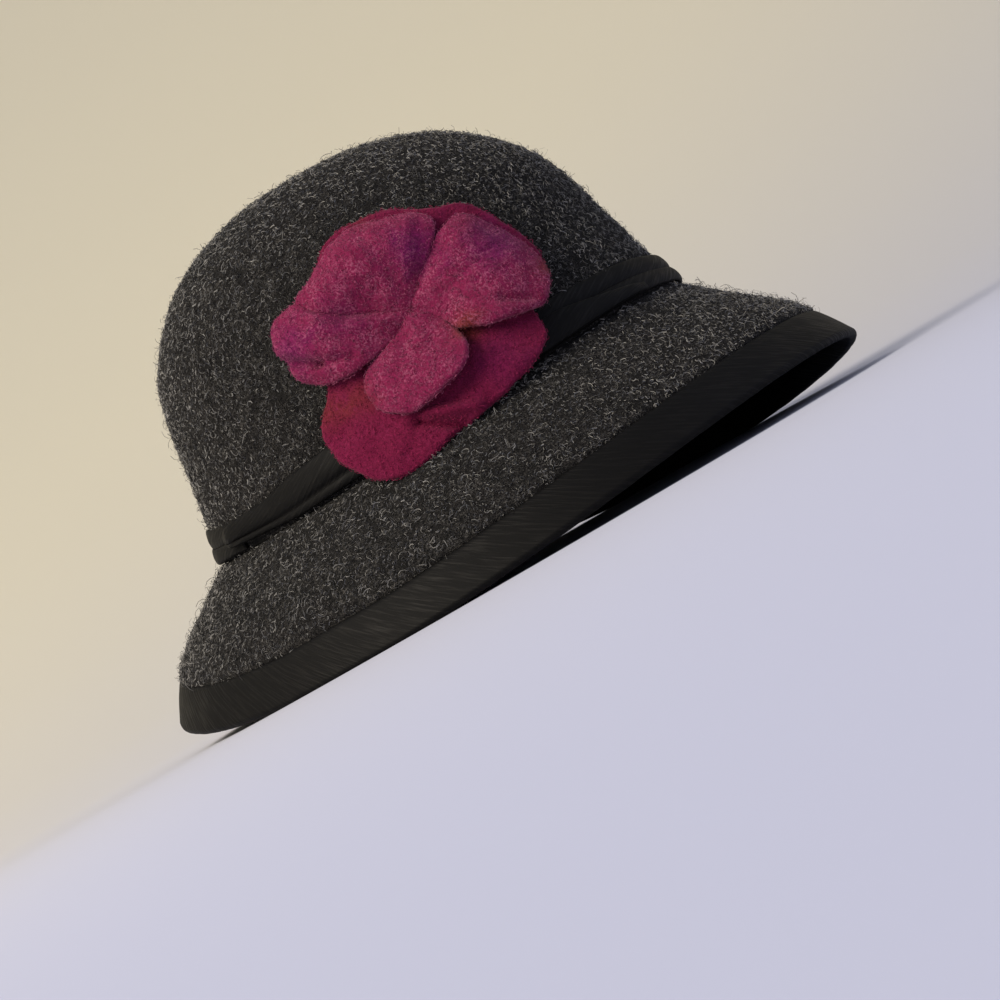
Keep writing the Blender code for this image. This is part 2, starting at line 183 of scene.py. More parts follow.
PETALS = {
    "petal_top": {
        "aim": 96, "reach": 18.0, "puff": 7.4,
        "edge": as_rows(
            "aim reach lift roll",
            (-135, 3.0, 2.4, 1.1), (20, 4.0, 2.6, 1.1), (38, 12.0, 3.4, 1.3), (38, 22.0, 3.6, 1.3),
            (43, 30.0, 2.8, 1.2), (54, 32.5, 2.0, 1.2), (69, 32.0, 1.8, 1.2), (89, 33.5, 1.8, 1.2),
            (106, 34.2, 2.0, 1.2), (123, 33.2, 2.2, 1.2), (138, 35.6, 2.2, 1.2), (148, 29.5, 2.0, 1.1),
            (154, 16.0, 1.8, 1.1),
        ),
        "folds": as_rows(
            "aim reach to_aim to_reach width depth",
            (78, 10, 88, 30, 4.0, 0.9), (120, 8, 122, 28, 5.0, -0.8), (62, 12, 58, 30, 3.5, -0.7),
        ),
    },
    "petal_front": {
        "aim": -2, "reach": 24.0, "puff": 7.6,
        "edge": as_rows(
            "aim reach lift roll",
            (135, 3.0, 2.4, 1.1), (56, 7.0, 2.8, 1.1), (42, 16.0, 3.0, 1.2), (37, 27.0, 2.6, 1.2),
            (29, 35.5, 2.0, 1.2), (15, 38.0, 2.2, 1.2), (2, 40.5, 2.6, 1.3), (-11, 45.0, 3.0, 1.5),
            (-24, 47.0, 3.6, 1.8), (-35, 44.5, 4.6, 2.1), (-43, 35.5, 5.4, 2.2), (-51, 27.5, 5.4, 2.1),
            (-58, 18.5, 4.4, 1.7), (-66, 9.0, 2.8, 1.2),
        ),
        "folds": as_rows(
            "aim reach to_aim to_reach width depth",
            (18, 8, 20, 32, 4.5, -0.9), (-12, 12, 2, 34, 4.0, 0.8),
        ),
    },
    "petal_rear": {
        "aim": 165, "reach": 22.0, "puff": 6.8,
        "edge": as_rows(
            "aim reach lift roll",
            (-30, 3.0, 2.4, 1.1), (120, 5.0, 2.4, 1.1), (143, 17.0, 2.6, 1.1), (141, 29.0, 2.6, 1.2),
            (139, 36.0, 2.4, 1.2), (148, 42.0, 2.6, 1.3), (158, 43.0, 3.2, 1.5), (169, 41.0, 3.6, 1.6),
            (180, 39.5, 3.2, 1.6), (-171, 35.0, 2.6, 1.5), (-163, 27.0, 3.2, 1.4),
            (-157, 18.0, 3.4, 1.3), (-150, 8.0, 2.8, 1.2),
        ),
        "folds": as_rows(
            "aim reach to_aim to_reach width depth",
            (166, 43, 178, 31, 3.0, 3.8), (178, 31, -172, 22, 3.4, 1.8), (163, 38, 174, 26, 5.0, -1.5),
            (160, 10, 157, 34, 5.0, -0.7),
        ),
    },
    "petal_low": {
        "aim": -110, "reach": 16.0, "puff": 6.6,
        "edge": as_rows(
            "aim reach lift roll",
            (90, 3.5, 2.6, 1.1), (-34, 7.0, 3.0, 1.1), (-58, 15.5, 4.2, 1.3), (-69, 24.5, 5.4, 1.4),
            (-84, 29.0, 6.0, 1.4), (-103, 32.0, 5.0, 1.4), (-119, 35.5, 3.4, 1.4),
            (-134, 34.5, 2.0, 1.3), (-146, 31.0, 1.6, 1.2), (-156, 24.0, 1.6, 1.2),
            (-163, 14.0, 2.0, 1.2), (-165, 7.0, 2.4, 1.1),
        ),
        "folds": as_rows(
            "aim reach to_aim to_reach width depth",
            (-128, 8, -126, 26, 4.5, 0.8), (-96, 10, -102, 24, 4.0, -0.6),
        ),
    },
}
BACK_FOLDS = as_rows(
    "aim reach to_aim to_reach width depth",
    (-118, 38, -96, 45, 2.6, 3.5), (-113, 36, -88, 41, 3.4, -2.2), (-34, 30, -34, 42, 3.0, 1.6),
    (-70, 22, -64, 40, 8.0, -1.0),
)
# Dyes laid into the flower's wool: where, how wide in millimetres, and how strong
DYE_SPOTS = as_rows(
    "dye aim reach size strength",
    ("purple", 54, 19, 7.0, 0.9), ("purple", 2, 33, 9.0, 0.8), ("purple", 165, 37, 8.0, 0.7),
    ("purple", 150, 20, 7.0, 0.35), ("purple", -66, 34, 10.0, 0.3), ("orange", -161, 42, 5.5, 0.5),
    ("orange", -150, 33, 6.0, 0.4), ("orange", -56, 20, 5.0, 0.8), ("orange", -20, 46, 3.5, 0.6),
    ("orange", 84, 36, 4.0, 0.3),
)

# How finely the pieces are meshed
CROWN_AROUND = 224
CROWN_UP = 72
BRIM_AROUND = 320
BAND_STEP = 1.25
TUCK_POINTS = 46
BRIM_STEPS = 20
PRESSED_STEPS = 4
LEG_STEPS = 10
FOLD_STEPS = 13
INNER_FOLD_STEPS = 5
PETAL_AROUND = 112
PETAL_RINGS = 20
BACK_AROUND = 176
BACK_RINGS = 34
RIM_TURNS = 5

# Columns of the brim's section that fibres grow on, and of the binding's section: its outside, its round
# fold and its outermost line
BRIM_TOP = (1, 21)
BRIM_UNDER = (33, 53)
OUTSIDE = slice(3, 36)
ROUND_FOLD = slice(13, 26)
RIM_COLUMN = 20
# How much longer the tucks count upwards than outwards, and the column that a strip's length is read on
TUCK_ASPECT = 6.0
MIDDLE_TUCK = 12
# How the flower's felt is shaped: rings closer at the edge, edges pressed thin, petals that slope late,
# folds that fade towards the edge and edges that waver
RING_SPREAD = 1.35
EDGE_PRESS = 4.0
PETAL_SLOPE = 2.6
FOLD_FADE = 0.35
EDGE_WAVER = 0.6 * MM
# Lumps of the felt: wide and fine ones in millimetres, and the fine ones' share
CROWN_LUMPS = (26, 7, 0.45)
BRIM_LUMPS = (24, 7, 0.45)
FLOWER_LUMPS = (9, 3.4, 0.4)
# Open felt of the brim as shares of its length, and how deep the felt sinks towards the binding's seam
BRIM_OPEN = (0.06, 0.985)
DITCH_DEPTHS = (0.2 * MM, 0.95 * MM)
# How the silk is uneven: the binding's pucker, a strip's creases, how its tucks drift and swell along it,
# with turns in radians for each degree of bearing, and how flat it lies within so many degrees of its ends
PUCKER = 0.14 * MM
SILK_CREASE = 0.12 * MM
TUCK_DRIFT, TUCK_DRIFT_TURN = 0.03, 0.09
TUCK_SWELL, TUCK_SWELL_TURN = 0.10, 0.21
STRIP_END_EASE = 5.0
STRIP_END_SHARE = 0.25

# Heights over the crease between which fibres begin on the crown, and heights over the floor between
# which its upper half begins
FIBRES_BEGIN = (8 * MM, 15 * MM)
CROWN_SPLIT = (118 * MM, 118.5 * MM)
# How the slubs turn from the cloth's edge, in degrees, and how many curl lines one lump of noise has
SLUB_TURN_BINDING = 38.0
SLUB_TURN_BAND = 24.0
CURL_LEVELS = 7.0
# Colours of the pale fibres felted into the flower, and of the loose ones on it
BACK_HAZE = "#7c1e46"
FRONT_HAZE = "#a85a78"
LOOSE_PINK = "#9c506e"
LOOSE_MAGENTA = "#8a2249"


def linear(colour):
    """A linear RGBA colour from an sRGB hex value."""
    parts = [int(colour[place:place + 2], 16) / 255 for place in (1, 3, 5)]
    return tuple(p / 12.92 if p <= 0.04045 else ((p + 0.055) / 1.055) ** 2.4 for p in parts) + (1.0,)


def colour_property(name, description, colour):
    """A colour that shows as a swatch in the sidebar."""
    return FloatVectorProperty(
        name=name, description=description, subtype="COLOR", size=4, min=0.0, max=1.0, default=linear(colour)
    )


def length_property(name, description, metres):
    """A length in metres."""
    return FloatProperty(name=name, description=description, unit="LENGTH", precision=5, default=metres)


def number_property(name, description, number):
    """A whole number."""
    return IntProperty(name=name, description=description, default=number)


def power_property(name, description, watts):
    """The power of a light."""
    return FloatProperty(name=name, description=description, unit="POWER", default=watts)


class FeltLook(bpy.types.PropertyGroup):
    """The charcoal wool felt of the crown and the brim."""
    ground: colour_property("Ground", "Colour of the dense wool under the curls", "#060607")
    curls: colour_property("Curls", "Colour of the light curls felted into it", "#504e4c")
    fibres: colour_property("Fibres", "Colour of the loose fibres on the surface", "#82817f")
    lumps: length_property("Lumps", "How uneven the felt is over a few centimetres", 0.45 * MM)
    curl_size: length_property("Curl size", "How wide one curl in the felt is", 1.9 * MM)


class SilkLook(bpy.types.PropertyGroup):
    """The black silk of the band and the binding."""
    warp: colour_property("Warp", "Colour of the silk", "#040405")
    slubs: colour_property("Slubs", "Colour of the thicker threads where they catch the light", "#0c0b0b")
    thickness: length_property("Thickness", "Thickness of one layer of silk", 0.28 * MM)
    slub_spacing: length_property("Slub spacing", "Distance between the thicker threads", 0.9 * MM)


class FlowerLook(bpy.types.PropertyGroup):
    """The hand-felted wool of the flower."""
    magenta: colour_property("Magenta", "Colour of the back felt", "#6e0f38")
    rose: colour_property("Rose", "Colour of the front petals", "#7a1944")
    purple: colour_property("Purple", "Wool laid in as purple patches", "#681050")
    orange: colour_property("Orange", "Wool laid in as orange brown patches", "#6e2c1a")
    lumps: length_property("Lumps", "How uneven the hand-made felt is", 0.7 * MM)


class FibreLook(bpy.types.PropertyGroup):
    """The loose wool fibres."""
    # Real wool is 0.02 to 0.04 mm wide, too fine to show, so it is drawn coarser
    width: length_property("Width", "Width of a fibre", 0.125 * MM)
    curl: length_property("Curl", "Radius of a fibre's curl", 0.6 * MM)
    crown_count: number_property("Crown fibres", "Fibres on each half of the crown", 13800)
    brim_count: number_property("Brim fibres", "Fibres on top of the brim", 13800)
    halo_count: number_property("Halo fibres", "Fibres that stand off the felt", 9000)
    flower_count: number_property("Flower fibres", "Fibres on the flower", 14000)
    seed: number_property("Seed", "Seed of the fibres' places", 7)


class StageLook(bpy.types.PropertyGroup):
    """The studio round the hat."""
    # The floor's cool colour and the wall's warm colour are painted light on the paper, not the paper's own
    # colours
    floor: colour_property("Floor", "Colour of the paper near the camera", "#aeb4cf")
    wall: colour_property("Wall", "Colour of the paper behind the hat", "#dcd7c6")
    key_power: power_property("Key", "Power of the key light", 46.0)
    wash_power: power_property("Wash", "Power of the light on the wall", 6.0)
    fill_power: power_property("Fill", "Power of the fill light", 8.0)


# Shape of the hat, the same formulas as the frame's solids follow

def outward(bearing):
    """The level unit directions out of the hat at bearings."""
    angle = np.radians(bearing)
    return np.stack([-np.sin(angle), -np.cos(angle), np.zeros_like(angle)], axis=-1)


def front_to_back(bearing, side, front, back):
    """A value that is one number at both sides and others at the front and the back."""
    ahead = np.cos(np.radians(bearing))
    return side + (np.where(ahead > 0, front, back) - side) * ahead * ahead


def crease_point(bearing):
    """The outside of the crown's foot."""
    out = outward(bearing)
    out[..., 0] *= CROWN_HALF_WIDTH
    out[..., 1] = CROWN_SETBACK + out[..., 1] * CROWN_HALF_LENGTH
    out[..., 2] = CREASE_HEIGHT + front_to_back(bearing, 0.0, CREASE_FRONT_RISE, CREASE_BACK_RISE)
    return out


def crown_at(bearing, climb):
    """The crown's outside at climbs from 0 at the crease to 1 at the top."""
    bearing, climb = np.broadcast_arrays(np.asarray(bearing, float), np.asarray(climb, float))
    foot = crease_point(bearing)
    swell = 1.0 - CROWN_WAIST * np.sin(np.pi * np.minimum(1.0, climb / CROWN_WAIST_TOP))
    swell = swell * np.maximum(0.0, 1.0 - climb ** CROWN_SQUARENESS) ** (1.0 / CROWN_ROUNDNESS)
    return np.stack([
        foot[..., 0] * swell,
        CROWN_SETBACK + (foot[..., 1] - CROWN_SETBACK) * swell + CROWN_LEAN * climb,
        foot[..., 2] * (1.0 - climb) + CROWN_TOP * climb,
    ], axis=-1)


def unit(vectors):
    """Vectors scaled to length 1."""
    return vectors / np.maximum(np.linalg.norm(vectors, axis=-1, keepdims=True), 1e-12)


def crown_normal(bearing, climb):
    """The outward normals of the crown."""
    step = 0.01
    above, below = np.minimum(LAST_CLIMB, climb + step), np.maximum(0.0, climb - step)
    up = crown_at(bearing, above) - crown_at(bearing, below)
    across = crown_at(bearing + 1.0, climb) - crown_at(bearing - 1.0, climb)
    return unit(np.cross(up, across))


def climb_for(bearing, rise):
    """The climbs that lie given distances along the crown's surface above the crease."""
    climbs = np.linspace(0.0, LAST_CLIMB, CLIMB_SAMPLES)
    points = crown_at(bearing[:, None], climbs[None, :])
    steps = np.linalg.norm(np.diff(points, axis=1), axis=2)
    along = np.concatenate([np.zeros((len(bearing), 1)), np.cumsum(steps, axis=1)], axis=1)
    above = np.clip((along < rise[:, None]).sum(axis=1), 1, CLIMB_SAMPLES - 1)
    each = np.arange(len(bearing))
    low, high = along[each, above - 1], along[each, above]
    share = np.clip((rise - low) / (high - low), 0.0, 1.0)
    return climbs[above - 1] + share * (climbs[above] - climbs[above - 1])


def on_crown(bearing, rise, stand):
    """Points that stand off the crown, at a rise along it from the crease."""
    bearing, rise, stand = (x.ravel() for x in np.broadcast_arrays(*np.atleast_1d(bearing, rise, stand)))
    climb = climb_for(bearing.astype(float), np.maximum(0.0, rise))
    points = crown_at(bearing, climb) + crown_normal(bearing, climb) * stand[:, None]
    points[:, 2] += np.minimum(0.0, rise)
    return points


def rim_point(bearing):
    """The rim of the brim, flattened where it rests."""
    out = outward(bearing)
    ahead = np.cos(np.radians(bearing))
    rest = math.sin(math.radians(RIM_REST_ANGLE)) ** 2
    lift = np.where(ahead > 0, RIM_FRONT_LIFT, RIM_BACK_LIFT)
    out[..., 0] *= RIM_HALF_WIDTH * (1.0 + RIM_PEAR * out[..., 1])
    out[..., 1] *= RIM_HALF_LENGTH
    out[..., 2] = lift * np.maximum(0.0, ahead ** 2 - rest) / (1.0 - rest)
    return out


def brim_run(bearing):
    """The brim's outer side at one bearing, from the crease to the rim: points, normals and lengths."""
    foot = crease_point(np.array(bearing))
    chord = rim_point(np.array(bearing)) - foot
    level = unit(chord * [1.0, 1.0, 0.0])
    slope = unit(chord)
    up = np.array([-level[0] * slope[2], -level[1] * slope[2], np.dot(level, slope)])
    bow = float(front_to_back(bearing, BRIM_BOW_SIDE, BRIM_BOW_FRONT, BRIM_BOW_BACK))
    share = np.linspace(0.0, 1.0, BRIM_SAMPLES)[:, None]
    lift = bow * np.sin(np.pi * share) - BRIM_TURN_DOWN * np.sin(2.0 * np.pi * share)
    points = foot + chord * share + up * lift
    steps = unit(np.gradient(points, axis=0))
    flat = steps[:, 0] * level[0] + steps[:, 1] * level[1]
    normals = np.stack([-level[0] * steps[:, 2], -level[1] * steps[:, 2], flat], axis=1)
    return points, normals, path_lengths(points)


def on_brim(run, along, stand):
    """Points of the brim's section, at lengths from the crease and heights over its outer side."""
    points, normals, lengths = run
    along = np.asarray(along, float)
    place = np.stack([np.interp(along, lengths, points[:, axis]) for axis in range(3)], axis=-1)
    normal = unit(np.stack([np.interp(along, lengths, normals[:, axis]) for axis in range(3)], axis=-1))
    beyond = np.maximum(0.0, along - lengths[-1])[..., None]
    return place + unit(points[-1] - points[-2]) * beyond + normal * np.asarray(stand, float)[..., None]


def smooth_share(value, low, high):
    """0 below low, 1 above high, and an even bend between them."""
    share = np.clip((value - low) / (high - low), 0.0, 1.0)
    return share * share * (3.0 - 2.0 * share)


def smooth_line(points, count, closed):
    """A smooth curve through points, read at even steps of its length."""
    points = np.asarray(points, float)
    if closed:
        ring = np.concatenate([points[-1:], points, points[:2]])
    else:
        ring = np.concatenate([2 * points[:1] - points[1:2], points, 2 * points[-1:] - points[-2:-1]])
    share = np.linspace(0.0, 1.0, 16, endpoint=False)[:, None]
    fine = []
    for a, b, c, d in zip(ring, ring[1:], ring[2:], ring[3:]):
        bend = 2 * b + (c - a) * share + (2 * a - 5 * b + 4 * c - d) * share ** 2
        fine.append((bend + (3 * b - a - 3 * c + d) * share ** 3) / 2)
    fine = np.concatenate(fine + [points[:1] if closed else points[-1:]])
    lengths = path_lengths(fine[:, :2])
    places = np.linspace(0.0, lengths[-1], count, endpoint=not closed)
    return np.stack([np.interp(places, lengths, fine[:, axis]) for axis in range(fine.shape[1])], axis=1)


def lumpiness(points, size, seed):
    """Smooth noise from -1 to 1 over points, with lumps of a given size."""
    shift = Vector((seed * 3.7, seed * 1.9, seed * 5.3))
    return np.array([noise.noise(Vector(point) / size + shift) for point in points])


def two_lumps(points, wide, fine, share, seed):
    """Wide lumps with a share of fine ones on them, both sizes in millimetres."""
    return lumpiness(points, wide * MM, seed) + share * lumpiness(points, fine * MM, seed + 1)


def path_lengths(points):
    """Lengths along a line of points, from 0 at its first one."""
    return np.concatenate([[0.0], np.cumsum(np.linalg.norm(np.diff(points, axis=0), axis=1))])


# Building pieces

def new_object(name, data):
    """A new object in the scene, at the origin."""
    made = bpy.data.objects.new(name, data)
    bpy.context.scene.collection.objects.link(made)
    return made


def mesh_object(name, points, faces):
    """A new smooth mesh object."""
    mesh = bpy.data.meshes.new(name)
    mesh.from_pydata([tuple(point) for point in points], [], faces)
    mesh.validate()
    mesh.shade_smooth()
    return new_object(name, mesh)


def grid_faces(rows, columns, close_rows, close_columns, first=0):
    """Quads between rows of points, each row going round if close_columns."""
    faces = []
    for row in range(rows if close_rows else rows - 1):
        there = (row + 1) % rows
        for column in range(columns if close_columns else columns - 1):
            after = (column + 1) % columns
            faces.append((
                first + row * columns + column,
                first + row * columns + after,
                first + there * columns + after,
                first + there * columns + column,
            ))
    return faces


def point_values(piece, name, values):
    """Stores one number per vertex, which materials and fibres read."""
    attribute = piece.data.attributes.new(name, "FLOAT", "POINT")
    attribute.data.foreach_set("value", np.asarray(values, np.float32))


def lay_flat_map(piece, across, along, around=0.0, round_section=0.0):
    """A UV map in metres from values at each vertex; a closed piece also gives its two lengths round."""
    layer = piece.data.uv_layers.new(name="cloth")
    corner = np.zeros(len(piece.data.loops), np.int32)
    piece.data.loops.foreach_get("vertex_index", corner)
    maps = []
    for values, whole in ((along, around), (across, round_section)):
        laid = values[corner].reshape(-1, 4)
        jump = laid.max(axis=1, keepdims=True) - laid > 0.5 * whole
        maps.append(np.where(jump & (whole > 0.0), laid + whole, laid).ravel())
    layer.data.foreach_set("uv", np.stack(maps, axis=1).astype(np.float32).ravel())


def face_outwards(piece):
    """Turns the faces of a closed piece outwards."""
    build = bmesh.new()
    build.from_mesh(piece.data)
    bmesh.ops.recalc_face_normals(build, faces=build.faces)
    build.to_mesh(piece.data)
    build.free()


def dress(piece, material, slot, *nodes):
    """Gives a finished piece its material and its place in the frame."""
    piece.data.materials.clear()
    piece.data.materials.append(material)
    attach(piece, "root")
    if nodes:
        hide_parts(*nodes)


# Materials

def new_material(name):
    """A material with an empty node tree, and the tree."""
    material = bpy.data.materials.new(name)
    material.use_nodes = True
    material.node_tree.nodes.clear()
    return material, material.node_tree


def add(tree, kind, sockets=None, **settings):
    """Adds a node with its settings; each socket gets a value, a link or a node's first output in use."""
    node = tree.nodes.new(kind)
    for name, value in settings.items():
        setattr(node, name, value)
    for key, value in (sockets or {}).items():
        if isinstance(value, bpy.types.Node):
            value = next(output for output in value.outputs if output.enabled)
        if isinstance(value, bpy.types.NodeSocket):
            tree.links.new(value, node.inputs[key])
        else:
            node.inputs[key].default_value = value
    return node


def curl_lines(tree, place, size, seed, thin):
    """Contour lines of a soft noise: they wind in loops and hooks as curls of wool do."""
    away = (seed, seed * 0.37, seed * 1.71)
    moved = add(tree, "ShaderNodeVectorMath", {0: place, 1: away}, operation="ADD")
    field = add(tree, "ShaderNodeTexNoise", {
        "Vector": moved, "Scale": 1.0 / size, "Detail": 1.4, "Roughness": 0.55, "Distortion": 0.9,
    })
    levels = add(tree, "ShaderNodeMath", {0: field, 1: CURL_LEVELS}, operation="MULTIPLY")
    part = add(tree, "ShaderNodeMath", {0: levels, 1: 1.0}, operation="PINGPONG")
    return add(tree, "ShaderNodeMapRange", {
        "Value": part, "From Min": 1.0 - thin,
    }, interpolation_type="SMOOTHSTEP")


def boiled_wool_felt(look):
    """Boiled merino felt, fulled until it is matt: dense dark wool with light curls in loops on it."""
    material, tree = new_material("boiled_wool_felt")
    place = add(tree, "ShaderNodeTexCoord").outputs["Object"]
    curls = curl_lines(tree, place, look.curl_size, 0.11, 0.24)
    for size, seed, thin in ((0.72, 0.53, 0.22), (1.3, 0.87, 0.16)):
        more = curl_lines(tree, place, look.curl_size * size, seed, thin)
        curls = add(tree, "ShaderNodeMath", {0: curls, 1: more}, operation="MAXIMUM")
    heather = add(tree, "ShaderNodeTexNoise", {"Vector": place, "Scale": 1.0 / (6 * MM), "Detail": 3.0})
    patches = add(tree, "ShaderNodeMapRange", {
        "Value": heather, "From Min": 0.38, "From Max": 0.62, "To Min": 0.1,
    })
    shown = add(tree, "ShaderNodeMath", {0: curls, 1: patches}, operation="MULTIPLY")
    grain = add(tree, "ShaderNodeTexNoise", {"Vector": place, "Scale": 1.0 / (0.5 * MM), "Detail": 2.0})
    speck = add(tree, "ShaderNodeMapRange", {
        "Value": grain, "From Min": 0.4, "From Max": 0.75, "To Max": 0.2,
    })
    amount = add(tree, "ShaderNodeMath", {0: shown, 1: speck}, operation="ADD", use_clamp=True)
    colour = add(tree, "ShaderNodeMix", {
        "Factor": amount, "A": look.ground, "B": look.curls,
    }, data_type="RGBA")
    bump = add(tree, "ShaderNodeBump", {"Strength": 0.9, "Distance": 0.35 * MM, "Height": amount})
    shader = add(tree, "ShaderNodeBsdfPrincipled", {
        "Base Color": colour, "Normal": bump, "Roughness": 0.95, "Specular IOR Level": 0.08,
        "Sheen Weight": 0.02, "Sheen Roughness": 0.6,
    })
    add(tree, "ShaderNodeOutputMaterial", {"Surface": shader})
    return material


def loose_wool(name, colour, darkest, dyes):
    """Single wool fibres, drawn as matt ribbons: each has its own tone, as heathered wool does."""
    material, tree = new_material(name)
    tone = add(tree, "ShaderNodeAttribute", attribute_name="tone").outputs["Fac"]
    shade = add(tree, "ShaderNodeMapRange", {"Value": tone, "To Min": darkest, "To Max": 1.3})
    tinted = add(tree, "ShaderNodeVectorMath", {0: (1.0, 1.0, 1.0), "Scale": shade}, operation="SCALE")
    mixed = add(tree, "ShaderNodeMix", {
        "Factor": 1.0, "A": dyed(tree, colour, dyes), "B": tinted,
    }, data_type="RGBA", blend_type="MULTIPLY")
    shader = add(tree, "ShaderNodeBsdfPrincipled", {
        "Base Color": mixed, "Roughness": 0.9, "Specular IOR Level": 0.2,
    })
    add(tree, "ShaderNodeOutputMaterial", {"Surface": shader})
    return material


def dyed(tree, base, dyes):
    """The base colour with the purple and orange wool mixed in where the piece's attributes say."""
    for name, colour in dyes.items():
        where = add(tree, "ShaderNodeAttribute", attribute_name=name).outputs["Fac"]
        base = add(tree, "ShaderNodeMix", {"Factor": where, "A": base, "B": colour}, data_type="RGBA")
    return base


def hand_felted_wool(name, colour, haze, dyes):
    """Hand-felted merino wool, wet-felted thick and soft: blended dyes under a pale haze of fibres."""
    material, tree = new_material(name)
    place = add(tree, "ShaderNodeTexCoord").outputs["Object"]
    strands = curl_lines(tree, place, 1.6 * MM, 0.29, 0.5)
    clouds = add(tree, "ShaderNodeTexNoise", {"Vector": place, "Scale": 1.0 / (7 * MM), "Detail": 4.0})
    veil = add(tree, "ShaderNodeMapRange", {
        "Value": clouds, "From Min": 0.35, "From Max": 0.65, "To Max": 0.7,
    })
    cover = add(tree, "ShaderNodeMath", {0: strands, 1: veil}, operation="MULTIPLY")
    grain = add(tree, "ShaderNodeTexNoise", {"Vector": place, "Scale": 1.0 / (0.6 * MM), "Detail": 3.0})
    dark = add(tree, "ShaderNodeMapRange", {
        "Value": grain, "From Min": 0.3, "From Max": 0.7, "To Min": 0.62, "To Max": 1.12,
    })
    deep = add(tree, "ShaderNodeVectorMath", {0: (1.0, 1.0, 1.0), "Scale": dark}, operation="SCALE")
    ground = add(tree, "ShaderNodeMix", {
        "Factor": 1.0, "A": dyed(tree, colour, dyes), "B": deep,
    }, data_type="RGBA", blend_type="MULTIPLY")
    shown = add(tree, "ShaderNodeMix", {"Factor": cover, "A": ground, "B": haze}, data_type="RGBA")
    bump = add(tree, "ShaderNodeBump", {"Strength": 0.8, "Distance": 0.3 * MM, "Height": grain})
    shader = add(tree, "ShaderNodeBsdfPrincipled", {
        "Base Color": shown, "Normal": bump, "Roughness": 0.92, "Specular IOR Level": 0.15,
        "Sheen Weight": 0.08, "Sheen Roughness": 0.5,
    })
    add(tree, "ShaderNodeOutputMaterial", {"Surface": shader})
    return material


def slubbed_silk(look, name, turn):
    """Silk dupioni, woven with uneven weft: long thicker threads that stand out and catch a soft gloss."""
    material, tree = new_material(name)
    cloth = add(tree, "ShaderNodeUVMap", uv_map="cloth")
    turned = add(tree, "ShaderNodeMapping", {"Vector": cloth, "Rotation": (0.0, 0.0, math.radians(turn))})
    noises = []
    for long, wide in ((14 * MM, look.slub_spacing), (3 * MM, 0.3 * MM)):
        laid = add(tree, "ShaderNodeVectorMath", {
            0: turned, 1: (1.0 / long, 1.0 / wide, 1.0),
        }, operation="MULTIPLY")
        noises.append(add(tree, "ShaderNodeTexNoise", {"Vector": laid, "Scale": 1.0, "Detail": 2.0}))
    slub, thread = noises
    ridge = add(tree, "ShaderNodeMapRange", {
        "Value": slub, "From Min": 0.42, "From Max": 0.72,
    }, interpolation_type="SMOOTHSTEP")
    relief = add(tree, "ShaderNodeMath", {0: thread, 1: 0.45, 2: ridge}, operation="MULTIPLY_ADD")
    colour = add(tree, "ShaderNodeMix", {
        "Factor": ridge, "A": look.warp, "B": look.slubs,
    }, data_type="RGBA")
    gloss = add(tree, "ShaderNodeMapRange", {
        "Value": relief, "From Min": 0.1, "From Max": 1.2, "To Min": 0.68, "To Max": 0.52,
    })
    bump = add(tree, "ShaderNodeBump", {"Strength": 0.6, "Distance": 0.12 * MM, "Height": relief})
    shader = add(tree, "ShaderNodeBsdfPrincipled", {
        "Base Color": colour, "Normal": bump, "Roughness": gloss, "Specular IOR Level": 0.12,
    })
    add(tree, "ShaderNodeOutputMaterial", {"Surface": shader})
    return material


def paper_with_painted_light(look):
    """Matt background paper with painted light: its colour fades from a cool-lit floor to a warm-lit wall.
    """
    material, tree = new_material("graduated_studio_paper")
    place = add(tree, "ShaderNodeTexCoord").outputs["Object"]
    # Painted light: the paper's colour runs from the cool floor to the warm wall along this direction
    along = add(tree, "ShaderNodeVectorMath", {0: place, 1: PAINTED_LIGHT_FADE}, operation="DOT_PRODUCT")
    fade = add(tree, "ShaderNodeMapRange", {
        "Value": along, "From Min": -0.7, "From Max": 1.3,
    }, interpolation_type="SMOOTHSTEP")
    shade = add(tree, "ShaderNodeMix", {"Factor": fade, "A": look.floor, "B": look.wall}, data_type="RGBA")
    shader = add(tree, "ShaderNodeBsdfPrincipled", {
        "Base Color": shade, "Roughness": 0.9, "Specular IOR Level": 0.2,
    })
    add(tree, "ShaderNodeOutputMaterial", {"Surface": shader})
    return material


# Wool fibres by Geometry Nodes

FIBRE_INPUTS = [
    ("Geometry", "NodeSocketGeometry", None),
    ("Grow On", "NodeSocketString", ""),
    ("Density", "NodeSocketFloat", 1000.0),
    ("Curl", "NodeSocketFloat", 0.85 * MM),
    ("Width", "NodeSocketFloat", 0.15 * MM),
    ("Lift", "NodeSocketFloat", 0.2 * MM),
    ("Tilt", "NodeSocketFloat", 0.5),
    ("Least Size", "NodeSocketFloat", 0.6),
    ("Greatest Size", "NodeSocketFloat", 1.5),
    ("Seed", "NodeSocketInt", 0),
    ("Material", "NodeSocketMaterial", None),
]
# Shapes of a fibre, and how each kind of fibre lies: curl and width as shares of the sidebar's,
# lift in millimetres, tilt in radians, and sizes as shares of a fibre's own size
FIBRE_HOOKS = [
    {"Resolution": 7, "Rotations": 1.10, "Start Radius": 0.35, "End Radius": 1.00, "Height": 0.9},
    {"Resolution": 7, "Rotations": 0.75, "Start Radius": 0.50, "End Radius": 1.20, "Height": 0.7},
    {"Resolution": 11, "Rotations": 0.40, "Start Radius": 2.20, "End Radius": 1.30, "Height": 0.5},
]
FIBRE_KINDS = as_rows(
    "kind curl width lift tilt least greatest",
    ("lying", 1.0, 1.0, 0.25, 0.45, 0.7, 1.6),
    ("standing", 1.6, 0.6, 1.0, 1.5, 0.6, 1.7),
    ("short", 0.75, 0.7, 0.3, 0.8, 0.6, 1.3),
)


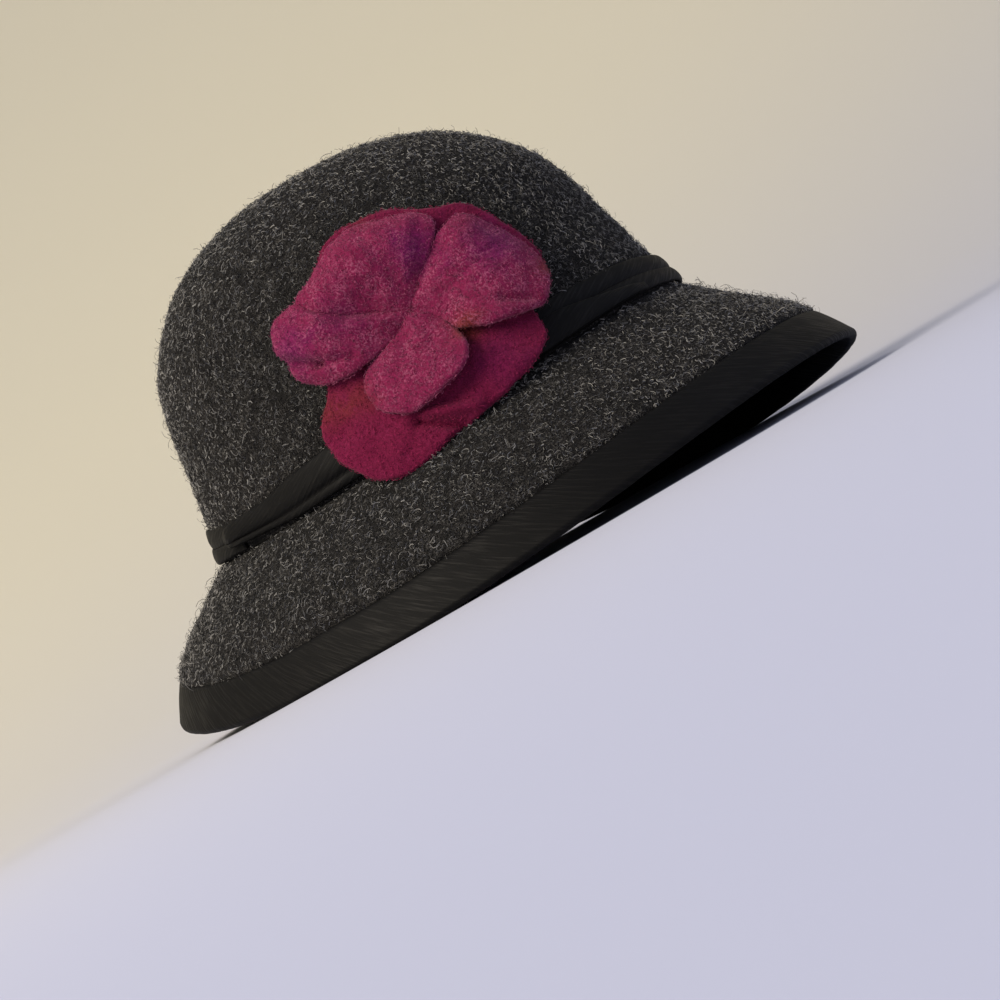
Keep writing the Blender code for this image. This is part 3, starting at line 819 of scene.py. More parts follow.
def fibre_tree():
    """A tree that scatters curled ribbons over a surface and gives each its own tone."""
    tree = bpy.data.node_groups.new("wool_fibres", "GeometryNodeTree")
    for name, kind, default in FIBRE_INPUTS:
        socket = tree.interface.new_socket(name, in_out="INPUT", socket_type=kind)
        if default is not None:
            socket.default_value = default
    tree.interface.new_socket("Geometry", in_out="OUTPUT", socket_type="NodeSocketGeometry")
    given = add(tree, "NodeGroupInput").outputs
    grow = add(tree, "GeometryNodeInputNamedAttribute", {"Name": given["Grow On"]}, data_type="FLOAT")
    density = add(tree, "ShaderNodeMath", {
        0: grow.outputs["Attribute"], 1: given["Density"],
    }, operation="MULTIPLY")
    scatter = add(tree, "GeometryNodeDistributePointsOnFaces", {
        "Mesh": given["Geometry"], "Density": density, "Seed": given["Seed"],
    })
    lift = add(tree, "FunctionNodeRandomValue", {2: 0.0, 3: given["Lift"], "Seed": 3}, data_type="FLOAT")
    offset = add(tree, "ShaderNodeVectorMath", {
        0: scatter.outputs["Normal"], "Scale": lift,
    }, operation="SCALE")
    raised = add(tree, "GeometryNodeSetPosition", {"Geometry": scatter, "Offset": offset})
    half = add(tree, "ShaderNodeMath", {0: given["Width"], 1: given["Curl"]}, operation="DIVIDE")
    corner = add(tree, "ShaderNodeCombineXYZ", {"X": half, "Y": half})
    flat = add(tree, "GeometryNodeCurvePrimitiveLine", {"Start": (0.0, 0.0, 0.0), "End": corner})
    shapes = add(tree, "GeometryNodeJoinGeometry")
    for hook in FIBRE_HOOKS:
        curve = add(tree, "GeometryNodeCurveSpiral", hook)
        ribbon = add(tree, "GeometryNodeCurveToMesh", {"Curve": curve, "Profile Curve": flat})
        single = add(tree, "GeometryNodeGeometryToInstance", {"Geometry": ribbon})
        tree.links.new(single.outputs["Instances"], shapes.inputs["Geometry"])
    away = add(tree, "ShaderNodeMath", {0: given["Tilt"], 1: -1.0}, operation="MULTIPLY")
    least = add(tree, "ShaderNodeCombineXYZ", {"X": away, "Y": away, "Z": 0.0})
    most = add(tree, "ShaderNodeCombineXYZ", {"X": given["Tilt"], "Y": given["Tilt"], "Z": 2 * math.pi})
    turn = add(tree, "FunctionNodeRandomValue", {0: least, 1: most, "Seed": 11}, data_type="FLOAT_VECTOR")
    turned = add(tree, "FunctionNodeRotateRotation", {
        "Rotation": scatter.outputs["Rotation"], "Rotate By": turn,
    }, rotation_space="LOCAL")
    size = add(tree, "FunctionNodeRandomValue", {
        2: given["Least Size"], 3: given["Greatest Size"], "Seed": 17,
    }, data_type="FLOAT")
    scale = add(tree, "ShaderNodeMath", {0: size, 1: given["Curl"]}, operation="MULTIPLY")
    which = add(tree, "FunctionNodeRandomValue", {
        4: 0, 5: len(FIBRE_HOOKS) - 1, "Seed": 23,
    }, data_type="INT")
    placed = add(tree, "GeometryNodeInstanceOnPoints", {
        "Points": raised, "Instance": shapes, "Pick Instance": True, "Instance Index": which,
        "Rotation": turned, "Scale": scale,
    })
    tone = add(tree, "FunctionNodeRandomValue", {2: 0.0, 3: 1.0, "Seed": 29}, data_type="FLOAT")
    toned = add(tree, "GeometryNodeStoreNamedAttribute", {
        "Geometry": placed, "Name": "tone", "Value": tone,
    }, data_type="FLOAT", domain="INSTANCE")
    real = add(tree, "GeometryNodeRealizeInstances", {"Geometry": toned})
    painted = add(tree, "GeometryNodeSetMaterial", {"Geometry": real, "Material": given["Material"]})
    add(tree, "NodeGroupOutput", {"Geometry": painted})
    return tree


def scatter_fibres(name, surface, inputs, material, slot):
    """Grows fibres on a copy of a surface and keeps them as a plain mesh of their own."""
    tree = bpy.data.node_groups.get("wool_fibres") or fibre_tree()
    bed = new_object(name + "_bed", surface.data.copy())
    grower = bed.modifiers.new("fibres", "NODES")
    grower.node_group = tree
    sockets = [item for item in tree.interface.items_tree if item.in_out == "INPUT"]
    identifiers = {item.name: item.identifier for item in sockets}
    for key, value in {**inputs, "Material": material}.items():
        grower[identifiers[key]] = value
    bpy.context.view_layer.update()
    evaluated = bed.evaluated_get(bpy.context.evaluated_depsgraph_get())
    mesh = bpy.data.meshes.new_from_object(evaluated)
    mesh.name = name
    fibres = new_object(name, mesh)
    bpy.data.objects.remove(bed)
    dress(fibres, material, slot)
    return fibres


# Felt crown and brim

def crown_piece(look):
    """The dome: an outer and an inner skin joined at the foot, uneven as blocked felt is."""
    bearings = np.arange(CROWN_AROUND) * 360.0 / CROWN_AROUND
    climbs = np.sin(np.pi / 2 * np.arange(CROWN_UP) / CROWN_UP)
    around, up = np.meshgrid(bearings, climbs)
    outer = crown_at(around, up).reshape(-1, 3)
    normals = crown_normal(around, up).reshape(-1, 3)
    top = crown_at(0.0, 1.0)[None, :]
    skin = outer + normals * (look.lumps * two_lumps(outer, *CROWN_LUMPS, 1))[:, None]
    lining = outer - normals * FELT_WALL
    lining[:, 2] = np.maximum(lining[:, 2], outer[:CROWN_AROUND, 2].min() - FELT_WALL)
    points = np.concatenate([skin, top, lining, top - [[0.0, 0.0, FELT_WALL]]])
    count = CROWN_UP * CROWN_AROUND
    faces = grid_faces(CROWN_UP, CROWN_AROUND, False, True)
    faces += [tuple(reversed(face)) for face in grid_faces(CROWN_UP, CROWN_AROUND, False, True, count + 1)]
    last = (CROWN_UP - 1) * CROWN_AROUND
    for column in range(CROWN_AROUND):
        after = (column + 1) % CROWN_AROUND
        faces.append((last + column, last + after, count))
        faces.append((count + 1 + last + after, count + 1 + last + column, 2 * count + 1))
        faces.append((after, column, count + 1 + column, count + 1 + after))
    piece = mesh_object("crown_felt", points, faces)
    face_outwards(piece)
    rise = np.zeros(len(points))
    rise[:count] = points[:count, 2] - np.tile(crease_point(bearings)[:, 2], CROWN_UP)
    open_felt = np.zeros(len(points))
    open_felt[:count + 1] = smooth_share(rise[:count + 1], *FIBRES_BEGIN)
    open_felt[count] = 1.0
    high = smooth_share(points[:, 2], *CROWN_SPLIT)
    point_values(piece, "crown_top", open_felt * high)
    point_values(piece, "crown_wall", open_felt * (1.0 - high))
    point_values(piece, "crown_halo", open_felt)
    return piece


def brim_piece(look):
    """The brim: felt from the crease to the binding, pressed thin inside the binding."""
    shares = np.linspace(*BRIM_OPEN, BRIM_STEPS)
    sunk = BINDING_PROUD - BINDING_WALL - CLEARANCE
    felt_end = -BINDING_WALL - CLEARANCE - FELT_IN_BINDING / 2
    pressed = np.linspace(-BINDING_WIDTH, felt_end, PRESSED_STEPS + 1)[1:]
    outer_stand = [-DITCH_DEPTHS[0], -DITCH_DEPTHS[1], sunk]
    inner_stand = [sunk - FELT_IN_BINDING, UNDER_PRESS[0] - FELT_WALL, UNDER_PRESS[1] - FELT_WALL]
    stand = np.concatenate([
        np.zeros(BRIM_STEPS), outer_stand, np.full(PRESSED_STEPS, sunk),
        np.full(PRESSED_STEPS, sunk - FELT_IN_BINDING), inner_stand, np.full(BRIM_STEPS, -FELT_WALL),
    ])
    sections = []
    for bearing in np.arange(BRIM_AROUND) * 360.0 / BRIM_AROUND:
        run = brim_run(bearing)
        length = run[2][-1]
        seam = length - BINDING_WIDTH
        ditch = [seam - SEAM_DITCH, seam - DITCH_MIDDLE * SEAM_DITCH, seam]
        open_felt = shares * ditch[0]
        along = np.concatenate([
            open_felt, ditch, length + pressed, length + pressed[::-1], ditch[::-1], open_felt[::-1],
        ])
        joint = crease_point(np.array(bearing)) - [0.0, 0.0, CLEARANCE]
        inner_joint = joint - crown_normal(np.array(bearing), np.array(0.0)) * FELT_WALL
        sections.append(np.concatenate([[joint], on_brim(run, along, stand), [inner_joint]]))
    grid = np.stack(sections)
    columns = grid.shape[1]
    place = np.tile(np.arange(columns), BRIM_AROUND)
    top, under = ((place >= first) & (place <= last) for first, last in (BRIM_TOP, BRIM_UNDER))
    across = np.roll(grid, -1, axis=0) - np.roll(grid, 1, axis=0)
    normals = unit(np.cross(np.gradient(grid, axis=1), across)).reshape(-1, 3)
    points = grid.reshape(-1, 3)
    normals[np.einsum("ij,ij->i", normals, points * [1, 1, 0] + [0, 0, 1]) < 0] *= -1
    share = np.sin(np.pi * np.clip(place / (BRIM_TOP[1] + 1.0), 0, 1)) ** 0.5
    swell = look.lumps * two_lumps(points, *BRIM_LUMPS, 3)
    points = points + normals * (swell * np.where(top, share, 0.0))[:, None]
    piece = mesh_object("brim_felt", points, grid_faces(BRIM_AROUND, columns, True, True))
    face_outwards(piece)
    point_values(piece, "brim_top", top.astype(float))
    point_values(piece, "brim_under", under.astype(float))
    return piece


class CLOCHE_OT_felt(bpy.types.Operator):
    """Builds the crown and the brim of charcoal boiled wool felt"""
    bl_idname = "cloche.felt"
    bl_label = "Felt crown and brim"

    def execute(self, context):
        look = context.scene.cloche_felt
        felt = boiled_wool_felt(look)
        dress(crown_piece(look), felt, "wool_felt", "crown")
        dress(brim_piece(look), felt, "wool_felt", "brim")
        return {"FINISHED"}


# Silk

def binding_piece():
    """The silk folded over the rim: two legs and a round fold, a little puckered."""
    hollow = FELT_IN_BINDING + 2 * CLEARANCE
    bend, reach = hollow / 2, hollow / 2 + BINDING_WALL
    middle = BINDING_PROUD - BINDING_WALL - bend
    outer_turns = np.radians(np.linspace(80.0, -80.0, FOLD_STEPS))
    inner_turns = np.radians(np.linspace(-60.0, 60.0, INNER_FOLD_STEPS))
    seam, fold, lip = -BINDING_WIDTH, -reach, 0.45 * BINDING_WALL
    leg = np.linspace(seam, fold, LEG_STEPS + 1)
    half_leg = leg[LEG_STEPS // 2]
    over, below = BINDING_PROUD, middle - reach
    bulge, ease = 0.55 * BINDING_WALL, 0.12 * MM
    lip_places = [seam, seam - lip, seam + 0.2 * lip]
    section = [
        (lip_places, [over - BINDING_WALL, over - bulge, over - ease]),
        (leg[1:], np.full(LEG_STEPS, over)),
        (fold + reach * np.cos(outer_turns), middle + reach * np.sin(outer_turns)),
        (leg[:0:-1], np.full(LEG_STEPS, below)),
        (lip_places[::-1], [below + ease, below + bulge, middle - bend]),
        ([half_leg, fold], np.full(2, middle - bend)),
        (fold + bend * np.cos(inner_turns), middle + bend * np.sin(inner_turns)),
        ([fold, half_leg], np.full(2, middle + bend)),
    ]
    place, stand = (np.concatenate([part[side] for part in section]) for side in (0, 1))
    runs = [brim_run(bearing) for bearing in np.arange(BRIM_AROUND) * 360.0 / BRIM_AROUND]
    grid = np.stack([on_brim(run, run[2][-1] + place, stand) for run in runs])
    columns = grid.shape[1]
    points = grid.reshape(-1, 3)
    away = np.zeros_like(grid)
    away[:, OUTSIDE] = unit(grid[:, OUTSIDE] - grid[:, ROUND_FOLD].mean(axis=1)[:, None, :])
    pucker = lumpiness(points, 6 * MM, 6) + 0.6 * lumpiness(points, 2.6 * MM, 8)
    shift = away.reshape(-1, 3) * (PUCKER * pucker)[:, None]
    across = path_lengths(grid[0])
    along = path_lengths(np.concatenate([grid[:, RIM_COLUMN], grid[:1, RIM_COLUMN]]))
    around = across[-1] + float(np.linalg.norm(grid[0, -1] - grid[0, 0]))
    points = points + shift
    points[:, 2] = np.maximum(points[:, 2], 0.0)
    piece = mesh_object("binding_silk", points, grid_faces(BRIM_AROUND, columns, True, True))
    face_outwards(piece)
    lay_flat_map(piece, np.tile(across, BRIM_AROUND), np.repeat(along[:-1], columns), along[-1], around)
    return piece, float(along[-1])


def strip_stand(name, bearing):
    """How far a strip lies off the crown: the side strip climbs over the band, the tail lies on it."""
    band = STRIPS["band_silk"]
    climbed = {
        "band_silk": 0.0,
        "band_side_silk": (bearing - (360.0 + band["start"] - SIDE_OVERLAP)) / SIDE_CLIMB,
        "band_tail_silk": 1.0,
    }
    return CLEARANCE + (band["fullness"] * MM + CLEARANCE) * np.clip(climbed[name], 0.0, 1.0)


def strip_piece(name, look, seed):
    """A folded silk strip between two bearings: one sheet that goes through its tucks."""
    strip = STRIPS[name]
    height, fullness, span = strip["height"] * MM, strip["fullness"] * MM, strip["end"] - strip["start"]
    steps = round(span / BAND_STEP)
    tucks = [(row["height"] * TUCK_ASPECT, row["fullness"]) for row in strip["tucks"]]
    tucks = smooth_line(tucks, TUCK_POINTS, False) / [TUCK_ASPECT, 1.0]
    place = np.linspace(0.0, 1.0, steps + 1)[:, None]
    bearing = strip["start"] + span * place
    marks, lows, tops = ([row[column] for row in strip["run"]] for column in ("place", "low", "top"))
    low, top = height * np.interp(place, marks, lows), height * np.interp(place, marks, tops)
    drift = TUCK_DRIFT * np.sin(TUCK_DRIFT_TURN * bearing + seed) * np.sin(np.pi * tucks[:, 0])
    from_end = np.minimum(place, 1 - place) * span
    risen = smooth_share(from_end, 0.0, STRIP_END_EASE)
    ease = STRIP_END_SHARE + (1.0 - STRIP_END_SHARE) * risen
    wave = 1.0 + TUCK_SWELL * np.sin(TUCK_SWELL_TURN * bearing + seed * 2.0)
    rises = low + (top - low) * np.clip(tucks[:, 0] + drift, 0.0, 1.0)
    foot = strip_stand(name, bearing) + look.thickness
    stands = foot + (fullness - look.thickness) * tucks[:, 1] * ease * wave
    bearings = np.repeat(bearing.ravel(), TUCK_POINTS)
    points = on_crown(bearings, rises.ravel(), stands.ravel())
    points = points + outward(bearings) * (SILK_CREASE * lumpiness(points, 5 * MM, seed + 20))[:, None]
    grid = points.reshape(steps + 1, TUCK_POINTS, 3)
    across, along = path_lengths(grid[steps // 2]), path_lengths(grid[:, MIDDLE_TUCK])
    piece = mesh_object(name, points, grid_faces(steps + 1, TUCK_POINTS, False, False))
    lay_flat_map(piece, np.tile(across, steps + 1), np.repeat(along, TUCK_POINTS))
    wall = piece.modifiers.new("silk", "SOLIDIFY")
    wall.thickness = look.thickness
    wall.offset = 0.0
    return piece, (float(across[-1]), float(along[-1]))


class CLOCHE_OT_silk(bpy.types.Operator):
    """Builds the bias binding on the rim and the three strips of the tucked band"""
    bl_idname = "cloche.silk"
    bl_label = "Silk binding and band"

    def execute(self, context):
        look = context.scene.cloche_silk
        bias = slubbed_silk(look, "slubbed_silk_on_the_bias", SLUB_TURN_BINDING)
        straight = slubbed_silk(look, "slubbed_silk", SLUB_TURN_BAND)
        binding, length = binding_piece()
        dress(binding, bias, "black_silk", "brim_binding")
        for seed, name in enumerate(STRIPS):
            strip, flat = strip_piece(name, look, seed)
            dress(strip, straight, "black_silk", STRIPS[name]["node"])
        return {"FINISHED"}


# Flower

def flower_points(across, up, stand):
    """Points of the flower, laid over the crown round the flower's heart."""
    across, up, stand = (x.ravel() for x in np.broadcast_arrays(across, up, stand))
    rise = FLOWER_RISE + up
    climb = climb_for(np.full(len(rise), FLOWER_BEARING), np.maximum(0.0, rise))
    away = crown_at(np.full(len(rise), FLOWER_BEARING), climb) - [0.0, CROWN_SETBACK, 0.0]
    radius = np.linalg.norm(away[:, :2], axis=1) + FLOWER_STAND
    return on_crown(FLOWER_BEARING - np.degrees(across / radius), rise, stand)


def polar(aim, reach):
    """A point of the flower's own plane, in metres, from an aim in degrees and a reach in millimetres."""
    return np.array([math.cos(math.radians(aim)), math.sin(math.radians(aim))]) * reach * MM


def flower_stand(out):
    """How far the flower's foot stands off the crown at a distance from its heart."""
    risen = smooth_share(out, FLOWER_HEART, FLOWER_SHOULDER * FLOWER_RADIUS)
    return CLEARANCE + FLOWER_FELT + FLOWER_STAND * risen


def fold_depth(flat, folds):
    """How deep the pressed folds are at points of the flower's plane."""
    depth = np.zeros(len(flat))
    for fold in folds:
        start, end = polar(fold["aim"], fold["reach"]), polar(fold["to_aim"], fold["to_reach"])
        line = end - start
        place = ((flat - start) @ line) / (line @ line)
        off = np.linalg.norm(flat - start - np.clip(place, 0.0, 1.0)[:, None] * line, axis=1)
        depth += fold["depth"] * MM * np.exp(-(off / (fold["width"] * MM / 2)) ** 2)
    return depth


def outline(table, count, middle):
    """A felt edge as places, lifts and rolls in metres, smooth and a little uneven round the piece."""
    marks = [(*(polar(row["aim"], row["reach"])), row["lift"] * MM, row["roll"] * MM) for row in table]
    line = smooth_line(marks, count, True)
    wobble = np.array([noise.noise(Vector((*point[:2], 0.0)) / (6 * MM)) for point in line])
    line[:, :2] += unit(line[:, :2] - middle) * (EDGE_WAVER * wobble)[:, None]
    return line


def felt_sheet(name, edge, middle, rings, top_height, lumps, seed):
    """A piece of thick soft felt: a top skin, a rounded edge and an under skin, closed at both middles."""
    around = len(edge)
    roll = edge[:, 3]
    out = unit(edge[:, :2] - middle)
    inset = edge[:, :2] - out * roll[:, None]
    shares = 1.0 - (1.0 - np.arange(1, rings + 1) / rings) ** RING_SPREAD
    skin = [middle + (inset - middle) * share for share in shares]
    tops = [top_height(flat, share, edge) for flat, share in zip(skin, shares)]
    thick = [FLOWER_FELT + (2 * roll - FLOWER_FELT) * share ** EDGE_PRESS for share in shares]
    unders = [top - depth for top, depth in zip(tops, thick)]
    turns = np.radians(np.linspace(90.0, -90.0, RIM_TURNS + 2)[1:-1])
    rounded = [inset + out * (roll * math.cos(turn))[:, None] for turn in turns]
    falls = [tops[-1] - roll * (1.0 - math.sin(turn)) for turn in turns]
    centre = top_height(middle[None, :], 0.0, edge)
    flats = [*skin, *rounded, *skin[::-1]]
    flat = np.concatenate([middle[None, :], *flats, middle[None, :]])
    height = np.concatenate([centre, *tops, *falls, *unders[::-1], centre - FLOWER_FELT])
    points = flower_points(flat[:, 0], flat[:, 1], height)
    height = height + lumps * two_lumps(points, *FLOWER_LUMPS, seed)
    points = flower_points(flat[:, 0], flat[:, 1], height)
    faces = grid_faces(len(flats), around, False, True, 1)
    last = 1 + (len(flats) - 1) * around
    for column in range(around):
        after = (column + 1) % around
        faces.append((0, 1 + after, 1 + column))
        faces.append((len(points) - 1, last + column, last + after))
    piece = mesh_object(name, points, faces)
    face_outwards(piece)
    shown = np.zeros(len(points))
    shown[:1 + (rings + RIM_TURNS // 2 + 1) * around] = 1.0
    point_values(piece, "flower_top", shown)
    ragged = 1.0 + 0.5 * lumpiness(points, 4 * MM, 31)
    for dye in ("purple", "orange"):
        strength = np.zeros(len(points))
        for spot in DYE_SPOTS:
            if spot["dye"] == dye:
                off = np.linalg.norm(flat - polar(spot["aim"], spot["reach"]), axis=1) / (spot["size"] * MM)
                strength += spot["strength"] * np.exp(-(off * ragged) ** 2)
        point_values(piece, dye, np.clip(strength, 0.0, 1.0))
    return piece


def back_height(flat):
    """The top of the back felt over points of the flower's plane."""
    out = np.linalg.norm(flat, axis=1)
    return flower_stand(out) - fold_depth(flat, BACK_FOLDS)


def back_piece(look):
    """The back disc: wide lobes, sewn down at the heart."""
    middle = np.zeros(2)

    def top_height(flat, share, line):
        return back_height(flat) + line[:len(flat), 2] * share ** 3

    edge = outline(BACK_OUTLINE, BACK_AROUND, middle)
    return felt_sheet("flower_back_felt", edge, middle, BACK_RINGS, top_height, look.lumps, 41)


def petal_piece(name, look, seed):
    """One front petal: it swells in its middle and its edge stands off the back felt."""
    petal = PETALS[name]
    middle = polar(petal["aim"], petal["reach"])
    puff = petal["puff"] * MM

    def top_height(flat, share, line):
        lift = line[:len(flat), 2] + line[:len(flat), 3]
        rise = puff + (lift - puff) * share ** PETAL_SLOPE
        return back_height(flat) + rise - fold_depth(flat, petal["folds"]) * (1.0 - FOLD_FADE * share)

    edge = outline(petal["edge"], PETAL_AROUND, middle)
    return felt_sheet(name, edge, middle, PETAL_RINGS, top_height, look.lumps, seed)


def join(name, pieces):
    """One object from several meshes, with their attributes."""
    with bpy.context.temp_override(active_object=pieces[0], selected_editable_objects=pieces):
        bpy.ops.object.join()
    pieces[0].name = name
    pieces[0].data.name = name
    return pieces[0]


class CLOCHE_OT_flower(bpy.types.Operator):
    """Builds the felt flower: a lobed back disc and four gathered petals"""
    bl_idname = "cloche.flower"
    bl_label = "Felt flower"

    def execute(self, context):
        look = context.scene.cloche_flower
        dyes = {"purple": look.purple, "orange": look.orange}
        magenta = hand_felted_wool("hand_felted_magenta_wool", look.magenta, linear(BACK_HAZE), dyes)
        rose = hand_felted_wool("hand_felted_rose_wool", look.rose, linear(FRONT_HAZE), dyes)
        back = back_piece(look)
        dress(back, magenta, "magenta_felt", "flower_back")
        petals = [petal_piece(name, look, 50 + 3 * number) for number, name in enumerate(PETALS)]
        front = join("flower_front_felt", petals)
        dress(front, rose, "rose_felt", "flower_front")
        return {"FINISHED"}


class CLOCHE_OT_fibres(bpy.types.Operator):
    """Grows the loose wool fibres on the crown, the brim and the flower"""
    bl_idname = "cloche.fibres"
    bl_label = "Wool fibres"

    def execute(self, context):
        look = context.scene.cloche_fibres
        flower = context.scene.cloche_flower
        dyes = {"purple": flower.purple, "orange": flower.orange}
        wools = {
            "wool_felt": loose_wool("loose_grey_wool", context.scene.cloche_felt.fibres, 0.1, {}),
            "rose_felt": loose_wool("loose_pink_wool", linear(LOOSE_PINK), 0.55, dyes),
            "magenta_felt": loose_wool("loose_magenta_wool", linear(LOOSE_MAGENTA), 0.7, dyes),
        }
        kinds = {
            row["kind"]: {
                "Curl": row["curl"] * look.curl, "Width": row["width"] * look.width,
                "Lift": row["lift"] * MM, "Tilt": row["tilt"],
                "Least Size": row["least"], "Greatest Size": row["greatest"],
            }
            for row in FIBRE_KINDS
        }
        halo, petals = look.halo_count // 2, look.flower_count // 2
        jobs = [
            ("crown_top_fibres", "crown_felt", "crown_top", look.crown_count, "lying", "wool_felt"),
            ("crown_wall_fibres", "crown_felt", "crown_wall", look.crown_count, "lying", "wool_felt"),
            ("crown_halo", "crown_felt", "crown_halo", halo, "standing", "wool_felt"),
            ("brim_top_fibres", "brim_felt", "brim_top", look.brim_count, "lying", "wool_felt"),
            ("brim_under_fibres", "brim_felt", "brim_under", look.brim_count // 3, "lying", "wool_felt"),
            ("brim_halo", "brim_felt", "brim_top", halo, "standing", "wool_felt"),
            ("flower_back_fibres", "flower_back_felt", "flower_top", petals, "short", "magenta_felt"),
            ("flower_front_fibres", "flower_front_felt", "flower_top", petals, "short", "rose_felt"),
        ]
        for number, (name, surface, mask, count, kind, slot) in enumerate(jobs):
            bed = bpy.data.objects[surface]
            density = count / masked_area(bed, mask)
            inputs = {**kinds[kind], "Grow On": mask, "Density": density, "Seed": look.seed + number}
            scatter_fibres(name, bed, inputs, wools[slot], slot)
        return {"FINISHED"}


def masked_area(piece, mask):
    """The area of a piece in square metres, weighed by one of its point values."""
    values = np.zeros(len(piece.data.vertices), np.float32)
    piece.data.attributes[mask].data.foreach_get("value", values)
    return sum(face.area * float(values[list(face.vertices)].mean()) for face in piece.data.polygons)


# Stage

FLOOR_RADIUS = 1.12
FLOOR_SETBACK = 0.75
SWEEP_RADIUS = 2.4
WALL_HEIGHT = 3.2
SWEEP_AROUND = 96
# Direction of the paper's painted light, from the cool floor to the warm wall
PAINTED_LIGHT_FADE = (0.22, 0.75, 0.80)
NEAR_CLIP = 0.01
PHOTO_AZIMUTH = -55.8
PHOTO_ROLL = 30.1
PHOTO_DISTANCE = 1.018
PHOTO_FOCAL_PIXELS = 2757.0
PHOTO_SIZE = 1000.0
CAMERA_ELEVATION = -3.5
SENSOR = 36.0
PIVOT = Vector((0.0, 2.9 * MM, 78.0 * MM))
PIVOT_PIXEL = (419.8, 379.0)
AIR_COLOUR = "#e4e6ee"
AIR_STRENGTH = 0.52
LIGHTS = as_rows(
    "name place aim size colour",
    ("key", (-1.42, 0.45, 1.3), (0.0, 0.0, 0.08), 1.1, "#fff3e0"),
    ("fill", (0.6, -1.8, 0.9), (0.0, 0.0, 0.08), 1.4, "#e6ebff"),
    ("wash", (0.6, 0.4, 1.7), (2.3, 1.6, 0.8), 1.0, "#fff1d2"),
)


def sweep_piece():
    """A round floor that curves up into a wall all the way round, so that no horizon shows."""
    profile = [(0.4, 0.0), (FLOOR_RADIUS, 0.0)]
    for turn in np.radians(np.linspace(-90.0, 0.0, 13))[1:]:
        profile.append((FLOOR_RADIUS + SWEEP_RADIUS * math.cos(turn), SWEEP_RADIUS * (1 + math.sin(turn))))
    profile.append((FLOOR_RADIUS + SWEEP_RADIUS, WALL_HEIGHT))
    angles = np.arange(SWEEP_AROUND) * 2 * np.pi / SWEEP_AROUND
    azimuth = math.radians(PHOTO_AZIMUTH)
    x, y = math.sin(azimuth) * FLOOR_SETBACK, -math.cos(azimuth) * FLOOR_SETBACK
    points = [(x, y, 0.0)]
    for radius, height in profile:
        points += [(x + radius * math.cos(a), y + radius * math.sin(a), height) for a in angles]
    faces = [(0, 1 + column, 1 + (column + 1) % SWEEP_AROUND) for column in range(SWEEP_AROUND)]
    faces += [tuple(reversed(face)) for face in grid_faces(len(profile), SWEEP_AROUND, False, True, 1)]
    return mesh_object("sweep", points, faces)


def area_light(name, place, aim, size, power, colour):
    """A square soft light aimed at a point."""
    data = bpy.data.lights.new(name, "AREA")
    data.size = size
    data.energy = power
    data.color = colour[:3]
    lamp = new_object(name, data)
    lamp.location = place
    lamp.rotation_mode = "QUATERNION"
    lamp.rotation_quaternion = (Vector(aim) - Vector(place)).to_track_quat("-Z", "Y")
    lamp.visible_camera = False


def photo_camera():
    """The photograph's camera, lifted so far that it stands over the floor."""
    a, e = math.radians(PHOTO_AZIMUTH), math.radians(CAMERA_ELEVATION)
    back = Vector((math.sin(a) * math.cos(e), -math.cos(a) * math.cos(e), math.sin(e)))
    data = bpy.data.cameras.new("photo_camera")
    data.sensor_width = SENSOR
    data.lens = SENSOR * PHOTO_FOCAL_PIXELS / PHOTO_SIZE
    data.clip_start = NEAR_CLIP
    data.shift_x = (PHOTO_SIZE / 2 - PIVOT_PIXEL[0]) / PHOTO_SIZE
    data.shift_y = (PIVOT_PIXEL[1] - PHOTO_SIZE / 2) / PHOTO_SIZE
    camera = new_object("photo_camera", data)
    camera.location = PIVOT + back * PHOTO_DISTANCE
    camera.rotation_mode = "QUATERNION"
    level = (-back).to_track_quat("-Z", "Y")
    camera.rotation_quaternion = level @ Matrix.Rotation(-math.radians(PHOTO_ROLL), 4, "Z").to_quaternion()
    bpy.context.scene.camera = camera


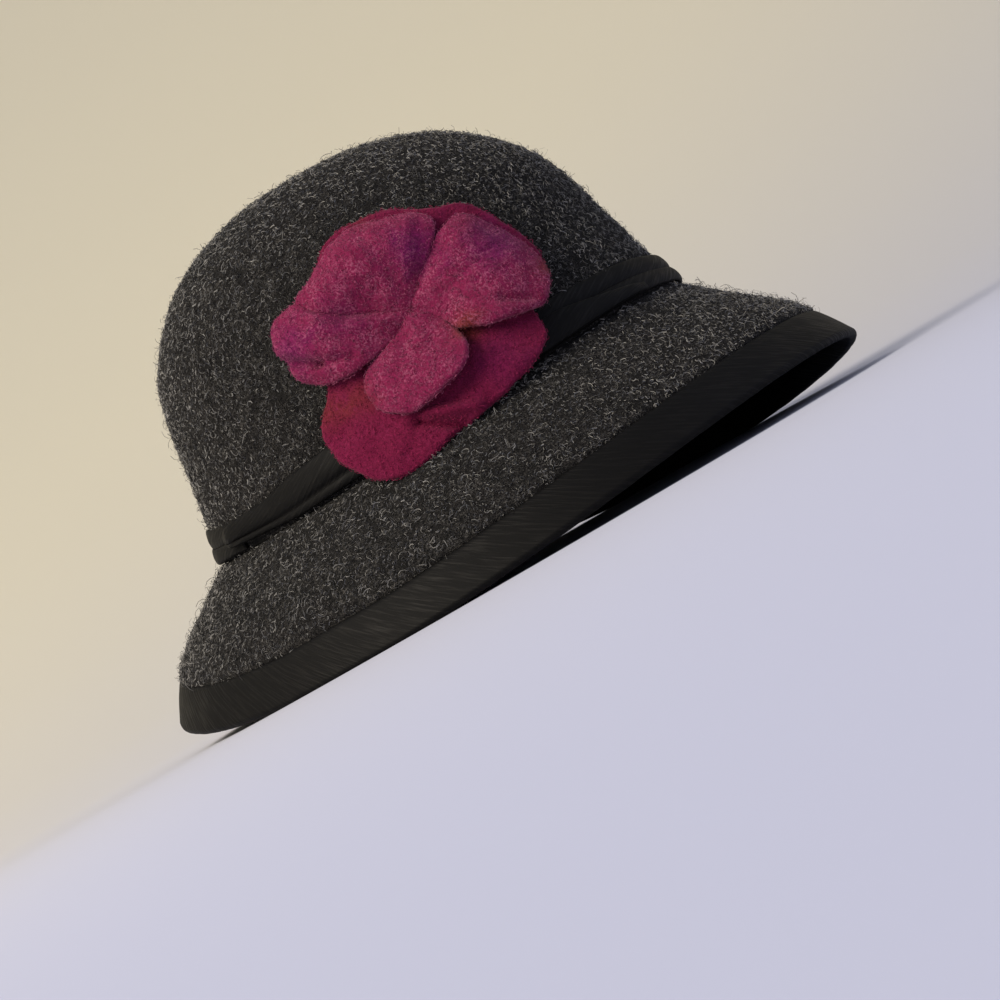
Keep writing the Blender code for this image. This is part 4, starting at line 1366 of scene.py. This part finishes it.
class CLOCHE_OT_stage(bpy.types.Operator):
    """Sets up the pale floor, the soft lights and the camera"""
    bl_idname = "cloche.stage"
    bl_label = "Studio"

    def execute(self, context):
        look = context.scene.cloche_stage
        sweep = sweep_piece()
        sweep.data.materials.append(paper_with_painted_light(look))
        world = bpy.data.worlds.new("studio_air")
        world.use_nodes = True
        air = world.node_tree.nodes["Background"]
        air.inputs["Color"].default_value = linear(AIR_COLOUR)
        air.inputs["Strength"].default_value = AIR_STRENGTH
        context.scene.world = world
        for row in LIGHTS:
            power = getattr(look, row["name"] + "_power")
            area_light(row["name"], row["place"], row["aim"], row["size"], power, linear(row["colour"]))
        photo_camera()
        context.scene.view_settings.view_transform = "Standard"
        return {"FINISHED"}


class CLOCHE_PT_panel(bpy.types.Panel):
    """Lists the hat's pieces in the sidebar"""
    bl_label = "Cloche hat"
    bl_idname = "CLOCHE_PT_panel"
    bl_space_type = "VIEW_3D"
    bl_region_type = "UI"
    bl_category = "Cloche"

    def draw(self, context):
        for operator in OPERATORS:
            self.layout.operator(operator.bl_idname)
        for name, group in LOOKS.items():
            box = self.layout.box()
            for prop in group.__annotations__:
                box.prop(getattr(context.scene, name), prop)


OPERATORS = (CLOCHE_OT_felt, CLOCHE_OT_silk, CLOCHE_OT_flower, CLOCHE_OT_fibres, CLOCHE_OT_stage)
LOOKS = {
    "cloche_felt": FeltLook,
    "cloche_silk": SilkLook,
    "cloche_flower": FlowerLook,
    "cloche_fibres": FibreLook,
    "cloche_stage": StageLook,
}


def register():
    for group in LOOKS.values():
        bpy.utils.register_class(group)
    for name, group in LOOKS.items():
        setattr(bpy.types.Scene, name, PointerProperty(type=group))
    for operator in OPERATORS:
        bpy.utils.register_class(operator)
    bpy.utils.register_class(CLOCHE_PT_panel)


def unregister():
    bpy.utils.unregister_class(CLOCHE_PT_panel)
    for operator in reversed(OPERATORS):
        bpy.utils.unregister_class(operator)
    for name, group in LOOKS.items():
        delattr(bpy.types.Scene, name)
        bpy.utils.unregister_class(group)


def main():
    register()
    bpy.ops.cloche.felt()
    bpy.ops.cloche.silk()
    bpy.ops.cloche.flower()
    bpy.ops.cloche.fibres()
    bpy.ops.cloche.stage()


if __name__ == "__main__":
    main()
